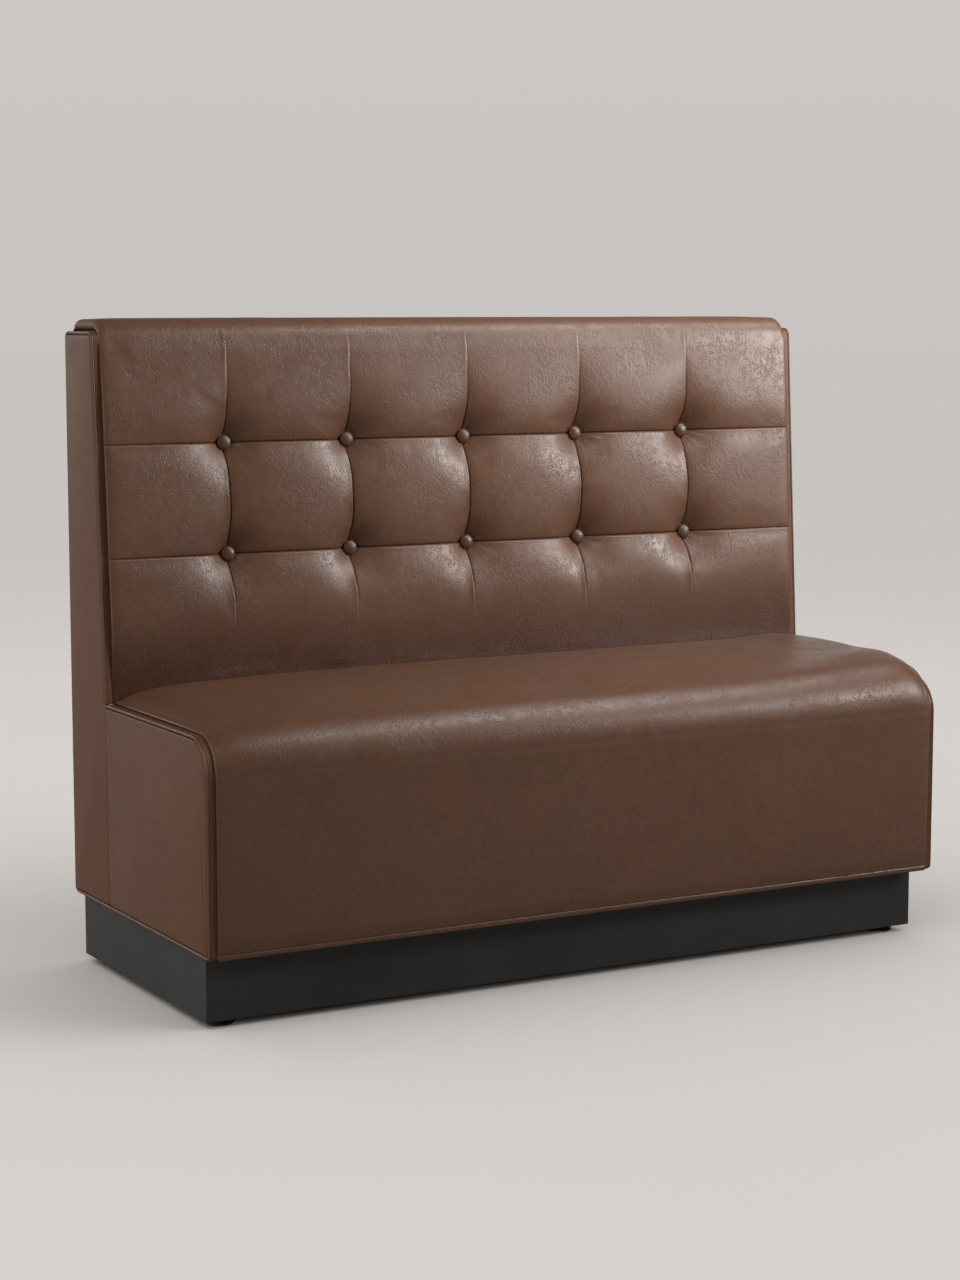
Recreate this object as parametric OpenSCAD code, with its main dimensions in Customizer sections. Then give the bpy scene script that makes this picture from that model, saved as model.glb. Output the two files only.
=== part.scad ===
// Upholstered banquette bench: a plywood seat box and a wedge-shaped back frame bolted together,
// standing on a recessed plinth with four levelling feet.
// The origin is on the floor under the middle of the bench. X runs along it, and +Y to its back.

/* [Overall] */
// Width over the two end panels
overall_w = 1360; // [1100:10:1900]
// Depth from the front of the seat to the rear cover
overall_d = 560; // [520:5:660]
// Height to the crown of the top roll
overall_h = 1067; // [980:1:1200]

/* [Plinth] */
// Height of the plinth boards
plinth_h = 105; // [80:1:140]
// Thickness of the plinth boards
plinth_t = 18; // [15:1:22]
// Recess of the plinth under each end panel
plinth_side_in = 14; // [5:1:40]
// Recess of the plinth under the seat front
plinth_front_in = 45; // [30:1:80]
// Recess of the plinth under the rear
plinth_rear_in = 10; // [0:1:40]
// Side of a corner block
block_side = 50; // [44:1:60]
// Height of a corner block
block_h = 80; // [70:1:100]

/* [Levelling feet] */
// Gap under the plinth, which the feet stand in
foot_lift = 12; // [11.8:0.2:20]
// Diameter of a foot pad
pad_d = 45; // [36:1:50]
// Height of a foot pad
pad_h = 9; // [9:0.5:9.5]
// Distance of a foot's middle from the plinth's outer faces
foot_in = 37; // [34:1:40]
// Diameter of the stem's thread
stem_d = 8; // [6:1:10]
// Length of the stem from its head up
stem_len = 54; // [50:1:65]
// Diameter of the stem's head, which turns in the pad
stem_head_d = 14; // [12:1:18]
// Thickness of the stem's head
stem_head_t = 3; // [2:0.5:3.5]

/* [Seat box] */
// Height of the seat's side edge over the floor
seat_side_h = 452; // [430:1:480]
// Radius of the end panel's rounded front corner
seat_front_r = 60; // [40:1:80]
// Radius of the end panel's bottom front corner
seat_bottom_r = 8; // [7:0.5:15]
// Thickness of the foam between the deck and the level of the seat's side edge
seat_foam_t = 90; // [80:1:107]
// Thickness of the ribs, deck and boards
ply_t = 15; // [12:1:18]
// Thickness of the end plies
end_ply_t = 10; // [9:1:15]
// Thickness of the base board and the top rail
base_t = 18; // [15:1:22]
// Diameter of the vent holes in the deck
vent_d = 25; // [15:1:35]
// Diameter of the lightening holes in the seat ribs
rib_hole_d = 100; // [60:5:120]

/* [Back frame] */
// Depth of the back's end panel at seat level
back_low_d = 155; // [145:1:180]
// Depth of the back's end panel at its top
back_top_d = 118; // [110:1:140]
// How far the end panels stop under the crown of the top roll
end_panel_drop = 21; // [15:1:30]
// Radius of the end panel's front top corner
end_front_r = 15; // [10:1:25]
// Radius of the end panel's rear top and bottom corners
end_rear_r = 12; // [8:1:20]
// Thickness of the tufting board
tuft_board_t = 12; // [9:1:15]
// Foam thickness in front of the tufting board
back_foam_t = 58; // [50:1:62]
// Foam thickness over the top rail
top_foam_t = 31; // [26:1:36]
// Thickness of the rear panel
rear_panel_t = 6; // [4:1:9]
// How far the shelf's top face lies below the seat's side edge
shelf_drop = 48; // [40:1:57]

/* [Upholstery] */
// Thickness of the leather
leather_t = 1.5; // [1:0.1:2]
// Thickness of an end panel's leather with its foam backing
end_cover_t = 6; // [5.6:0.1:7]
// Diameter of the welt
welt_d = 5.6; // [4.6:0.1:5.8]
// Gap between a cushion and the end panels
edge_gap = 2.5; // [2:0.5:5]
// Crown of the seat over its side edge
seat_crown = 37; // [20:1:45]
// How far a cushion's edge rolls in beside the end panels
edge_roll = 6; // [3:1:8]
// Radius of the top roll's front edge
roll_front_r = 22; // [16:1:28]
// Radius of the top roll's rear edge
roll_rear_r = 18; // [12:1:24]
// Width that the seat cover turns in under the front
turn_in = 24; // [15:1:34]

/* [Tufting] */
// Distance between button columns
button_pitch = 224; // [190:1:240]
// Distance from the crown of the top roll down to the upper row of buttons
button_top_drop = 202; // [190:1:220]
// Height from the lower to the upper row
button_row_gap = 182; // [170:1:200]
// Diameter of a button
button_d = 25; // [20:1:30]
// Height of a button's dome
button_dome_h = 8; // [5:0.5:10]
// How far the pillows stand proud of the end panels' front edge
pillow_proud = 5; // [2:0.5:8]
// Depth of the creases that run up and down between buttons
column_crease = 9; // [4:0.5:12]
// Depth of the seams that run across between buttons
row_crease = 9; // [4:0.5:12]
// Further depth at a button
button_pull = 16; // [8:0.5:18]
// Thickness of a button tie
tie_d = 2.4; // [1.5:0.1:3]

/* [Fasteners] */
// Diameter of the bolts between seat box and back
bolt_d = 8; // [6:1:10]
// Height of those bolts over the floor
bolt_h = 260; // [230:1:290]
// Leg of a plinth bracket
bracket_leg = 40; // [30:1:50]
// Width of a plinth bracket
bracket_w = 30; // [20:1:40]
// Sheet thickness of a plinth bracket
bracket_t = 2.5; // [2:0.5:3]
// Shank diameter of a bracket screw
screw_d = 4; // [3:0.5:5]
// Length of a bracket screw under its head
screw_len = 16; // [10:1:18]

/* [Hidden] */

leather = "#69503f";
welt_brown = "#5a4334";
plinth_black = "#2c2a28";
birch = "#d9b98a";
beech = "#c79a68";
foam_cream = "#e9dfb6";
zinc = "#b9bcc0";
nylon_black = "#1d1d1e";
twine = "#d8d2c0";

// Common clearances
fit = 0.3;
over = 5;
bore_play = 0.2;

// Main levels and planes
half_w = overall_w / 2;
front_y = -overall_d / 2;
rear_y = overall_d / 2;
body_z = foot_lift + plinth_h;
seat_bulge = 2;
panel_front_y = front_y + seat_bulge;
seam_y = rear_y - back_low_d;
deck_top_h = seat_side_h - seat_foam_t;
shelf_top_h = seat_side_h - shelf_drop;
end_panel_h = overall_h - end_panel_drop;

// Layers of an end panel, from outside to inside
ply_outer_x = half_w - end_cover_t;
ply_inner_x = ply_outer_x - end_ply_t;
cushion_half = ply_inner_x - edge_gap;
welt_r = welt_d / 2;
boxing_in = 1;
ply_in = boxing_in + leather_t;
face_in = welt_d + fit;

// The sloping front plane of the back, which the end panels' front edges lie in
back_slope = (back_low_d - back_top_d) / (end_panel_h - seat_side_h);
back_tilt = atan(back_slope);
function plane_y(z) = seam_y + back_slope * (z - seat_side_h);
function arc(cy, cz, r, a0, a1, n) = [
    for (i = [0 : n]) let (a = a0 + (a1 - a0) * i / n) [cy + r * cos(a), cz + r * sin(a)]
];
function reversed(list) = [for (i = [len(list) - 1 : -1 : 0]) list[i]];

// The end panels' edges as open paths in the YZ plane, moved in by i
arc_steps = 8;
bend_steps = 4;
function seat_edge(i) = concat(
    [[seam_y, seat_side_h - i]],
    arc(panel_front_y + seat_front_r, seat_side_h - seat_front_r, seat_front_r - i, 90, 180, arc_steps),
    arc(panel_front_y + seat_bottom_r, body_z + seat_bottom_r, seat_bottom_r - i, 180, 270, bend_steps)
);
end_front_c = [
    plane_y(end_panel_h - end_front_r) + end_front_r / cos(back_tilt),
    end_panel_h - end_front_r
];
end_rear_c = [rear_y - end_rear_r, end_panel_h - end_rear_r];
function back_edge(i) = concat(
    [[plane_y(seat_side_h) + i / cos(back_tilt), seat_side_h]],
    arc(end_front_c[0], end_front_c[1], end_front_r - i, 180 - back_tilt, 90, arc_steps),
    arc(end_rear_c[0], end_rear_c[1], end_rear_r - i, 90, 0, arc_steps)
);
function back_outline(i, bottom, rear, corner) = concat(
    [[seam_y, body_z + bottom], [seam_y, seat_side_h]],
    back_edge(i),
    [[rear, end_panel_h - end_rear_r], [rear, body_z + end_rear_r]],
    reversed(arc(rear_y - end_rear_r, body_z + end_rear_r, end_rear_r - corner, 270, 360, bend_steps)),
    [[rear_y - end_rear_r, body_z + bottom]]
);

// A board whose outline lies in the YZ plane, from x on along +X
module upright(x, t) {
    translate([x, 0, 0]) rotate([90, 0, 90]) linear_extrude(height = t) children();
}
// A plain board between two corners
module board(a, b) {
    translate(a) cube(b - a);
}
// What is made for the right end, and mirrored for the left
module at_side(side) {
    if (side > 0) children();
    else mirror([1, 0, 0]) children();
}

// Plinth
plinth_x = half_w - plinth_side_in;
plinth_front_y = front_y + plinth_front_in;
plinth_rear_y = rear_y - plinth_rear_in;
rib_x = button_pitch;

module plinth_front_board() {
    color(plinth_black) translate([0, 0, foot_lift]) linear_extrude(height = plinth_h) polygon([
        [-plinth_x, plinth_front_y], [plinth_x, plinth_front_y],
        [plinth_x - plinth_t, plinth_front_y + plinth_t], [-plinth_x + plinth_t, plinth_front_y + plinth_t]
    ]);
}
module plinth_end_board(side) {
    inner_x = plinth_x - plinth_t;
    color(plinth_black) at_side(side) translate([0, 0, foot_lift]) linear_extrude(height = plinth_h) polygon([
        [plinth_x, plinth_front_y], [plinth_x, plinth_rear_y],
        [inner_x, plinth_rear_y], [inner_x, plinth_front_y + plinth_t]
    ]);
}
module plinth_rear_board() {
    color(plinth_black) board(
        [-plinth_x + plinth_t, plinth_rear_y - plinth_t, foot_lift],
        [plinth_x - plinth_t, plinth_rear_y, body_z]
    );
}
module plinth_rib(side) {
    color(birch) at_side(side) board(
        [rib_x - plinth_t / 2, plinth_front_y + plinth_t, foot_lift],
        [rib_x + plinth_t / 2, plinth_rear_y - plinth_t, body_z]
    );
}

// Levelling feet
foot_x = plinth_x - foot_in;
foot_front_y = plinth_front_y + foot_in;
foot_rear_y = plinth_rear_y - foot_in;
nut_flange_d = stem_d * 2.75;
nut_flange_t = stem_d * 0.19;
nut_barrel_d = stem_d * 1.3;
nut_barrel_h = stem_d * 1.9;
head_low = pad_h / 3;
module at_feet() {
    for (side = [-1, 1])
        for (y = [foot_front_y, foot_rear_y])
            translate([side * foot_x, y, 0]) children();
}
module corner_block(sx, sy) {
    chamfer = block_side * 0.3;
    inner = foot_in - plinth_t - block_side;
    difference() {
        scale([sx, sy, 1]) translate([inner, inner, foot_lift]) linear_extrude(height = block_h) polygon([
            [0, chamfer], [chamfer, 0], [block_side, 0], [block_side, block_side], [0, block_side]
        ]);
        translate([0, 0, foot_lift - over]) {
            cylinder(d = nut_barrel_d + 2 * bore_play, h = block_h + 2 * over, $fn = 48);
            cylinder(d = nut_flange_d + 2 * bore_play, h = over + nut_flange_t, $fn = 48);
        }
    }
}
module plinth_corner_blocks() {
    color(beech)
        for (sx = [-1, 1], sy = [-1, 1])
            translate([sx * foot_x, sy < 0 ? foot_front_y : foot_rear_y, 0]) corner_block(sx, sy);
}
module foot_tee_nuts() {
    color(zinc) at_feet() translate([0, 0, foot_lift]) difference() {
        union() {
            cylinder(d = nut_flange_d, h = nut_flange_t, $fn = 48);
            cylinder(d = nut_barrel_d, h = nut_barrel_h, $fn = 48);
        }
        translate([0, 0, -over]) cylinder(d = stem_d + bore_play, h = nut_barrel_h + 2 * over, $fn = 48);
    }
}
module foot_pad(x, y) {
    rim = pad_h * 0.35;
    color(nylon_black) translate([x, y, 0]) difference() {
        rotate_extrude($fn = 64) polygon([
            [0, 0], [pad_d * 0.46, 0], [pad_d / 2, rim * 0.5], [pad_d / 2, rim],
            [pad_d * 0.4, pad_h * 0.8], [pad_d * 0.3, pad_h], [0, pad_h]
        ]);
        translate([0, 0, head_low - bore_play / 2])
            cylinder(d = stem_head_d + bore_play, h = stem_head_t + bore_play, $fn = 48);
        translate([0, 0, head_low]) cylinder(d = stem_d + bore_play, h = pad_h + over, $fn = 48);
    }
}
module foot_stem(x, y) {
    socket = stem_d * 0.45;
    chamfer = stem_d / 8;
    color(zinc) translate([x, y, head_low]) difference() {
        union() {
            cylinder(d = stem_head_d, h = stem_head_t, $fn = 48);
            cylinder(d = stem_d, h = stem_len - chamfer, $fn = 48);
            translate([0, 0, stem_len - chamfer])
                cylinder(d1 = stem_d, d2 = stem_d - 2 * chamfer, h = chamfer, $fn = 48);
        }
        translate([0, 0, stem_len - socket]) cylinder(d = socket, h = socket + over, $fn = 6);
    }
}

// Angle brackets between the plinth and the base board
bracket_share = 0.62;
bracket_places = concat(
    [for (s = [-bracket_share, 0, bracket_share]) [s * plinth_x, plinth_front_y + plinth_t, 0]],
    [for (s = [-bracket_share, 0, bracket_share]) [s * plinth_x, plinth_rear_y - plinth_t, 180]]
);
module at_brackets() {
    for (p = bracket_places) translate([p[0], p[1], body_z]) rotate([0, 0, p[2]]) children();
}
screw_place_share = 0.65;
module at_screws() {
    inset = bracket_leg * screw_place_share;
    for (x = [-bracket_w / 4, bracket_w / 4]) {
        translate([x, inset, -bracket_t]) children();
        translate([x, bracket_t, -inset]) rotate([90, 0, 0]) children();
    }
}
module plinth_brackets() {
    color(zinc) at_brackets() difference() {
        upright(-bracket_w / 2, bracket_w) polygon([
            [0, 0], [bracket_leg, 0], [bracket_leg, -bracket_t], [bracket_t, -bracket_t],
            [bracket_t, -bracket_leg], [0, -bracket_leg]
        ]);
        at_screws() translate([0, 0, -bracket_t])
            cylinder(d = screw_d + bore_play, h = 3 * bracket_t, $fn = 24);
    }
}
module bracket_screw() {
    head_h = screw_d * 0.55;
    cylinder(d = screw_d, h = screw_len, $fn = 24);
    translate([0, 0, -head_h]) cylinder(d1 = screw_d * 1.4, d2 = screw_d * 1.9, h = head_h, $fn = 24);
}
module bracket_screws() {
    color(zinc) at_brackets() at_screws() bracket_screw();
}

// Seat box
box_front_y = front_y + base_t;
box_board_y = seam_y - ply_t;
deck_low = deck_top_h - ply_t;
seat_box_low = body_z + base_t;

module seat_base_board() {
    color(birch) board([-ply_inner_x, box_front_y, body_z], [ply_inner_x, seam_y, seat_box_low]);
}
module seat_end_ply(side) {
    color(birch) at_side(side) upright(ply_inner_x, end_ply_t) polygon(concat(
        seat_edge(ply_in), [[panel_front_y + seat_bottom_r + ply_in, body_z], [seam_y, body_z]]
    ));
}
module seat_front_board() {
    color(birch) board(
        [-ply_inner_x, box_front_y, seat_box_low],
        [ply_inner_x, box_front_y + ply_t, deck_low]
    );
}
bolt_pitch_shares = [-2.25, -1.5, -0.4, 0.4, 1.5, 2.25];
module at_bolts() {
    for (s = bolt_pitch_shares)
        translate([s * button_pitch, seam_y, bolt_h]) rotate([-90, 0, 0]) children();
}
module bolt_bores() {
    at_bolts() translate([0, 0, -ply_t - over])
        cylinder(d = bolt_d + 2 * bore_play, h = 2 * ply_t + 2 * over, $fn = 32);
}
module seat_rear_board() {
    color(birch) difference() {
        board([-ply_inner_x, box_board_y, seat_box_low], [ply_inner_x, seam_y, deck_low]);
        bolt_bores();
    }
}
module seat_rib(side) {
    inner = [box_front_y + ply_t, box_board_y];
    mid = [(inner[0] + inner[1]) / 2, (seat_box_low + deck_low) / 2];
    color(birch) at_side(side) upright(rib_x - ply_t / 2, ply_t) difference() {
        translate([inner[0], seat_box_low]) square([inner[1] - inner[0], deck_low - seat_box_low]);
        for (s = [-1, 1])
            translate([mid[0] + s * rib_hole_d * 0.75, mid[1]]) circle(d = rib_hole_d, $fn = 64);
    }
}
vent_x_shares = [-0.8, -0.48, -0.16, 0.16, 0.48, 0.8];
vent_y_shares = [0.3, 0.7];
module seat_deck() {
    color(birch) difference() {
        board([-ply_inner_x, box_front_y, deck_low], [ply_inner_x, seam_y, deck_top_h]);
        for (sx = vent_x_shares, sy = vent_y_shares)
            translate([sx * ply_inner_x, box_front_y + sy * (seam_y - box_front_y), deck_low - over])
                cylinder(d = vent_d, h = ply_t + 2 * over, $fn = 32);
    }
}

// A cushion's surface is a grid of rows along its outer path and columns across its width.
// A row is [y, z, lift_y, lift_z, out_y, out_z]: its place, how far the crown lifts it in the
// middle of the bench, and the direction that points out of the leather.
function spread(u) = 0.8 * (1 - pow(u, 9)) + 0.2 * (1 - u * u);
roll_start_share = 0.98;
function rolled(u) = pow(max(0, (u - roll_start_share) / (1 - roll_start_share)), 1.5) * edge_roll;
// The seat's rolled ends flatten out down the front, towards the hem
function hem_share(z) =
    let (k = min(1, (z - body_z) / (seat_side_h - seat_front_r - body_z))) 1 - pow(1 - k, 3);

// Seat: from the rear of the deck up, over the crown, round the front and under it
seat_half_shares = [1, 0.993, 0.98, 0.95, 0.88, 0.74, 0.45];
seat_columns = concat([for (s = seat_half_shares) -s], [0], [for (s = reversed(seat_half_shares)) s]);
seat_base_z = seat_side_h - boxing_in;
seat_rear_y = seam_y - fit - leather_t / 3;
seat_rear_r = 9;
rear_bend = 0.3 * seat_rear_r;
seat_skirt = 10;
under_z = body_z - leather_t;
under_r = 3;
top_y_shares = [0.18, 0.36, 0.54, 0.7, 0.83];
top_lift_shares = [1, 1, 0.97, 0.8, 0.62];
arc_lift_shares = [0.46, 0.38, 0.29, 0.21, 0.14, 0.1];
front_z_shares = [0.8, 0.5, 0.2];
seat_rows = concat(
    [[seat_rear_y, deck_top_h + seat_skirt, 0, 0, 1, 0]],
    [[seat_rear_y, seat_base_z - seat_rear_r, 0, 0.88 * seat_crown, 1, 0]],
    [[seat_rear_y - rear_bend, seat_base_z - rear_bend, 0, 0.93 * seat_crown, cos(45), sin(45)]],
    [[seat_rear_y - seat_rear_r, seat_base_z, 0, 0.95 * seat_crown, 0, 1]],
    [
        for (i = [0 : len(top_y_shares) - 1])
            let (from = seat_rear_y, to = panel_front_y + seat_front_r)
            [from + (to - from) * top_y_shares[i], seat_base_z, 0, top_lift_shares[i] * seat_crown, 0, 1]
    ],
    [
        for (i = [0 : len(arc_lift_shares) - 1])
            let (a = 90 - 90 * i / (len(arc_lift_shares) - 1), c = cos(a), s = sin(a))
            let (r = seat_front_r - boxing_in)
            [
                panel_front_y + seat_front_r - r * c - boxing_in * c, seat_side_h - seat_front_r + r * s,
                -c * arc_lift_shares[i] * seat_crown * (i == len(arc_lift_shares) - 1 ? 0.5 : 1),
                s * arc_lift_shares[i] * seat_crown, -c, s
            ]
    ],
    [
        for (i = [0 : len(front_z_shares) - 1])
            let (z = body_z + (seat_side_h - seat_front_r - body_z) * front_z_shares[i])
            [panel_front_y, z, -seat_bulge * (i == 1 ? 1 : 0.8), 0, -1, 0]
    ],
    [[panel_front_y, under_z + under_r, 0, 0, -1, 0]],
    [[panel_front_y + 0.3 * under_r, under_z + 0.3 * under_r, 0, 0, -cos(45), -sin(45)]],
    [[panel_front_y + under_r, under_z, 0, 0, 0, -1]],
    [[panel_front_y + turn_in, under_z, 0, 0, 0, -1]]
);
deck_rows_end = 3 + 1 + len(top_y_shares) + len(arc_lift_shares) - 1;
front_rows_end = deck_rows_end + len(front_z_shares) + 1;
function seat_point(s, row, depth) =
    let (u = abs(s), g = spread(u), lifted = row[2] != 0 || row[3] != 0)
    let (d = depth + (lifted ? rolled(u) * hem_share(row[1]) : 0))
    [s * cushion_half, row[0] + row[2] * g - row[4] * d, row[1] + row[3] * g - row[5] * d];
function seat_grid(first, last, depth) = [
    for (j = [first : last]) [for (s = seat_columns) seat_point(s, seat_rows[j], depth)]
];

// Back: from the shelf up the pillows, over the top roll and down behind it
column_gap_shares = [-0.27, -0.065, 0, 0.065, 0.27];
back_end_shares = [0.915, 0.965, 0.99, 1];
back_half_columns = [for (s = back_end_shares) s * cushion_half];
back_columns = concat(
    [for (x = reversed(back_half_columns)) -x],
    [
        for (k = [-2 : 2], s = concat(column_gap_shares, k < 2 ? [0.5] : []))
            (k + s) * button_pitch
    ],
    back_half_columns
);
function near_column(x) = min([for (k = [-2 : 2]) abs(x - k * button_pitch)]);
button_high_h = overall_h - button_top_drop;
button_low_h = button_high_h - button_row_gap;
crease_w = button_pitch / 8;
pull_w = button_pitch / 5;
pull_flat = button_d * 0.6;
fade_low = button_row_gap * 0.42;
fade_high = button_row_gap * 0.75;
low_set = 1;
low_still = seat_base_z + seat_crown * 1.2;
low_full = low_still + button_row_gap * 0.4;
function ramp(a, b, t) = let (k = max(0, min(1, (t - a) / (b - a)))) k * k * (3 - 2 * k);
function column_strength(z) =
    z < button_low_h ? 1 - ramp(0, fade_low, button_low_h - z)
    : z > button_high_h ? 1 - ramp(0, fade_high, z - button_high_h)
    : 0.7 + 0.3 * abs(2 * (z - button_low_h) / button_row_gap - 1);
function row_strength(x) =
    let (u = max(0, abs(x) - 2 * button_pitch) / (cushion_half - 2 * button_pitch))
    1 - 0.65 * ramp(0, 1, u);
function pillow(x, z) =
    let (u = abs(x) / cushion_half, dx = near_column(x))
    let (dz = min(abs(z - button_low_h), abs(z - button_high_h)), r = sqrt(dx * dx + dz * dz))
    -low_set + (pillow_proud + low_set) * ramp(low_still, low_full, z) * (1 - pow(u, 8))
    - (z > low_still ? 1 : 0) * (
        column_crease * column_strength(z) * exp(-dx / crease_w)
        + row_crease * row_strength(x) * exp(-dz / crease_w)
        + button_pull * exp(-max(0, r - pull_flat) / pull_w)
    );

row_gap_shares = [-0.3, -0.08, 0, 0.08, 0.3];
low_row_shares = [0.24, 0.43, 0.72];
upper_row_shares = [0.42, 0.75];
back_start_gap = 2;
back_start_z = shelf_top_h + back_start_gap;
roll_front_c = [
    plane_y(overall_h - roll_front_r + roll_front_r * sin(back_tilt)) + roll_front_r * cos(back_tilt),
    overall_h - roll_front_r
];
roll_rear_c = [rear_y - roll_rear_r, overall_h - roll_rear_r];
function face_row(z) = [max(seam_y, plane_y(z)), z, -cos(back_tilt), sin(back_tilt), 1];
function roll_row(c, r, a) = [c[0] + r * cos(a), c[1] + r * sin(a), cos(a), sin(a), 0];
roll_arc_steps = 4;
roll_drop = 28;
back_rows = concat(
    [face_row(back_start_z)],
    [for (s = low_row_shares) face_row(back_start_z + (button_low_h - back_start_z) * s)],
    [for (s = row_gap_shares) face_row(button_low_h + s * button_row_gap)],
    [face_row(button_low_h + button_row_gap / 2)],
    [for (s = row_gap_shares) face_row(button_high_h + s * button_row_gap)],
    [for (s = upper_row_shares) face_row(button_high_h + (roll_front_c[1] - button_high_h) * s)],
    [
        for (i = [0 : roll_arc_steps])
            roll_row(roll_front_c, roll_front_r, 180 - back_tilt - (90 - back_tilt) * i / roll_arc_steps)
    ],
    [for (i = [0 : 2]) roll_row(roll_rear_c, roll_rear_r, 90 - 45 * i)],
    [[rear_y, overall_h - roll_rear_r - roll_drop * 0.1, 1, 0, 2]],
    [[rear_y, overall_h - roll_rear_r - roll_drop, 1, 0, 2]]
);
low_seam_row = 6;
high_seam_row = 12;
front_arc_row = 17;
foam_split_row = front_arc_row + 2;
last_row = len(back_rows) - 1;
top_sag = 4;
top_end_drop = 11;
function crown(x) =
    let (u = abs(x) / cushion_half)
    -top_sag * u * u - top_end_drop * pow(max(0, (u - 0.95) / 0.05), 2);
function back_height(x, row) =
    row[4] == 1 ? pillow(x, row[1]) - (row[1] > low_still ? rolled(abs(x) / cushion_half) : 0)
    : row[4] == 0 ? crown(x)
    : 0;
function back_point(x, row, depth) =
    let (h = back_height(x, row) - depth) [x, row[0] + row[2] * h, row[1] + row[3] * h];
function back_grid(first, last, depth) = [
    for (j = [first : last]) [for (x = back_columns) back_point(x, back_rows[j], depth)]
];

// Faces of a grid of n rows and m columns whose first point has the index k
function grid_faces(n, m, k, flip) = [
    for (j = [0 : n - 2], i = [0 : m - 2])
        let (a = k + j * m + i, b = a + 1, c = a + m + 1, d = a + m)
        each flip ? [[a, c, b], [a, d, c]] : [[a, b, c], [a, c, d]]
];
// The border of such a grid as a closed loop of indices
function grid_border(n, m) = concat(
    [for (i = [0 : m - 1]) i],
    [for (j = [1 : n - 1]) j * m + m - 1],
    [for (i = [m - 2 : -1 : 0]) (n - 1) * m + i],
    [for (j = [n - 2 : -1 : 1]) j * m]
);
// Leather between an outer and an inner grid
module skin(outer, inner) {
    n = len(outer);
    m = len(outer[0]);
    border = grid_border(n, m);
    count = len(border);
    polyhedron(
        points = concat([for (r = outer) each r], [for (r = inner) each r]),
        faces = concat(
            grid_faces(n, m, 0, true),
            grid_faces(n, m, n * m, false),
            [
                for (i = [0 : count - 1])
                    let (a = border[i], b = border[(i + 1) % count])
                    each [[a, b, b + n * m], [a, b + n * m, a + n * m]]
            ]
        )
    );
}
// Foam between an outer grid and a flat seat: low and high are the seat's [y, z] under the
// first and the last row
module foam(outer, low, high) {
    n = len(outer);
    m = len(outer[0]);
    x0 = outer[0][0][0];
    x1 = outer[0][m - 1][0];
    k = n * m;
    mid = floor(m / 2);
    polyhedron(
        points = concat(
            [for (r = outer) each r],
            [[x0, low[0], low[1]], [x1, low[0], low[1]], [x1, high[0], high[1]], [x0, high[0], high[1]]]
        ),
        faces = concat(
            grid_faces(n, m, 0, true),
            [for (i = [0 : mid - 1]) [k, i, i + 1]],
            [for (i = [mid : m - 2]) [k + 1, i, i + 1]],
            [[k, mid, k + 1]],
            [for (i = [0 : mid - 1]) [k + 3, k - m + i + 1, k - m + i]],
            [for (i = [mid : m - 2]) [k + 2, k - m + i + 1, k - m + i]],
            [[k + 3, k + 2, k - m + mid]],
            [[k, k + 1, k + 2, k + 3]],
            [concat([k, k + 3], [for (j = [n - 1 : -1 : 0]) j * m])],
            [concat([for (j = [0 : n - 1]) j * m + m - 1], [k + 2, k + 1])]
        )
    );
}
under_cover = leather_t + fit;

module seat_cover() {
    last = len(seat_rows) - 1;
    color(leather) skin(seat_grid(0, last, 0), seat_grid(0, last, leather_t));
}
module seat_foam() {
    color(foam_cream) foam(
        seat_grid(0, deck_rows_end, under_cover),
        [seat_rear_y - under_cover, deck_top_h], [box_front_y, deck_top_h]
    );
}
module seat_front_foam() {
    color(foam_cream) foam(
        seat_grid(deck_rows_end, front_rows_end, under_cover),
        [box_front_y, deck_top_h], [box_front_y, body_z]
    );
}
board_front_gap = back_foam_t / cos(back_tilt);
function board_y(z) = plane_y(z) + board_front_gap;
rail_top = overall_h - leather_t - top_foam_t;
rail_low = rail_top - base_t;
module back_foam() {
    color(foam_cream) foam(
        back_grid(0, foam_split_row, under_cover),
        [board_y(back_start_z), back_start_z], [board_y(rail_top), rail_top]
    );
}
module top_roll_foam() {
    color(foam_cream) foam(
        back_grid(foam_split_row, last_row - 1, under_cover),
        [board_y(rail_top), rail_top], [rear_y - under_cover, rail_top]
    );
}
module back_cover(first, last) {
    color(leather) skin(back_grid(first, last, 0), back_grid(first, last, leather_t));
}
module rear_cover() {
    color(leather) board(
        [-ply_outer_x, rear_y - leather_t, body_z],
        [ply_outer_x, rear_y, back_rows[last_row][1] - fit]
    );
}

// Back frame
frame_rear_y = rear_y - leather_t - rear_panel_t;
module back_end_ply(side) {
    color(birch) at_side(side) upright(ply_inner_x, end_ply_t)
        polygon(back_outline(ply_in, 0, rear_y - leather_t, leather_t));
}
module back_bottom_rail() {
    color(birch) board([-ply_inner_x, seam_y, body_z], [ply_inner_x, frame_rear_y, seat_box_low]);
}
lower_rail_h = 100;
module back_lower_rail() {
    color(birch) difference() {
        board(
            [-ply_inner_x, seam_y, bolt_h - lower_rail_h / 2],
            [ply_inner_x, seam_y + ply_t, bolt_h + lower_rail_h / 2]
        );
        bolt_bores();
    }
}
back_rib_x = button_pitch * 1.25;
lap_y = board_y(shelf_top_h) + tuft_board_t;
module back_shelf() {
    color(birch) difference() {
        board([-ply_inner_x, seam_y, shelf_top_h - ply_t], [ply_inner_x, frame_rear_y, shelf_top_h]);
        for (side = [-1, 1])
            translate([side * back_rib_x - ply_t / 2 - fit, lap_y, shelf_top_h - ply_t - over])
                cube([ply_t + 2 * fit, frame_rear_y - lap_y + over, ply_t + 2 * over]);
    }
}
module back_top_rail() {
    color(birch) upright(-ply_inner_x, 2 * ply_inner_x) polygon([
        [board_y(rail_low), rail_low], [board_y(rail_top), rail_top],
        [frame_rear_y, rail_top], [frame_rear_y, rail_low]
    ]);
}
board_through = tuft_board_t / cos(back_tilt);
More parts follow.
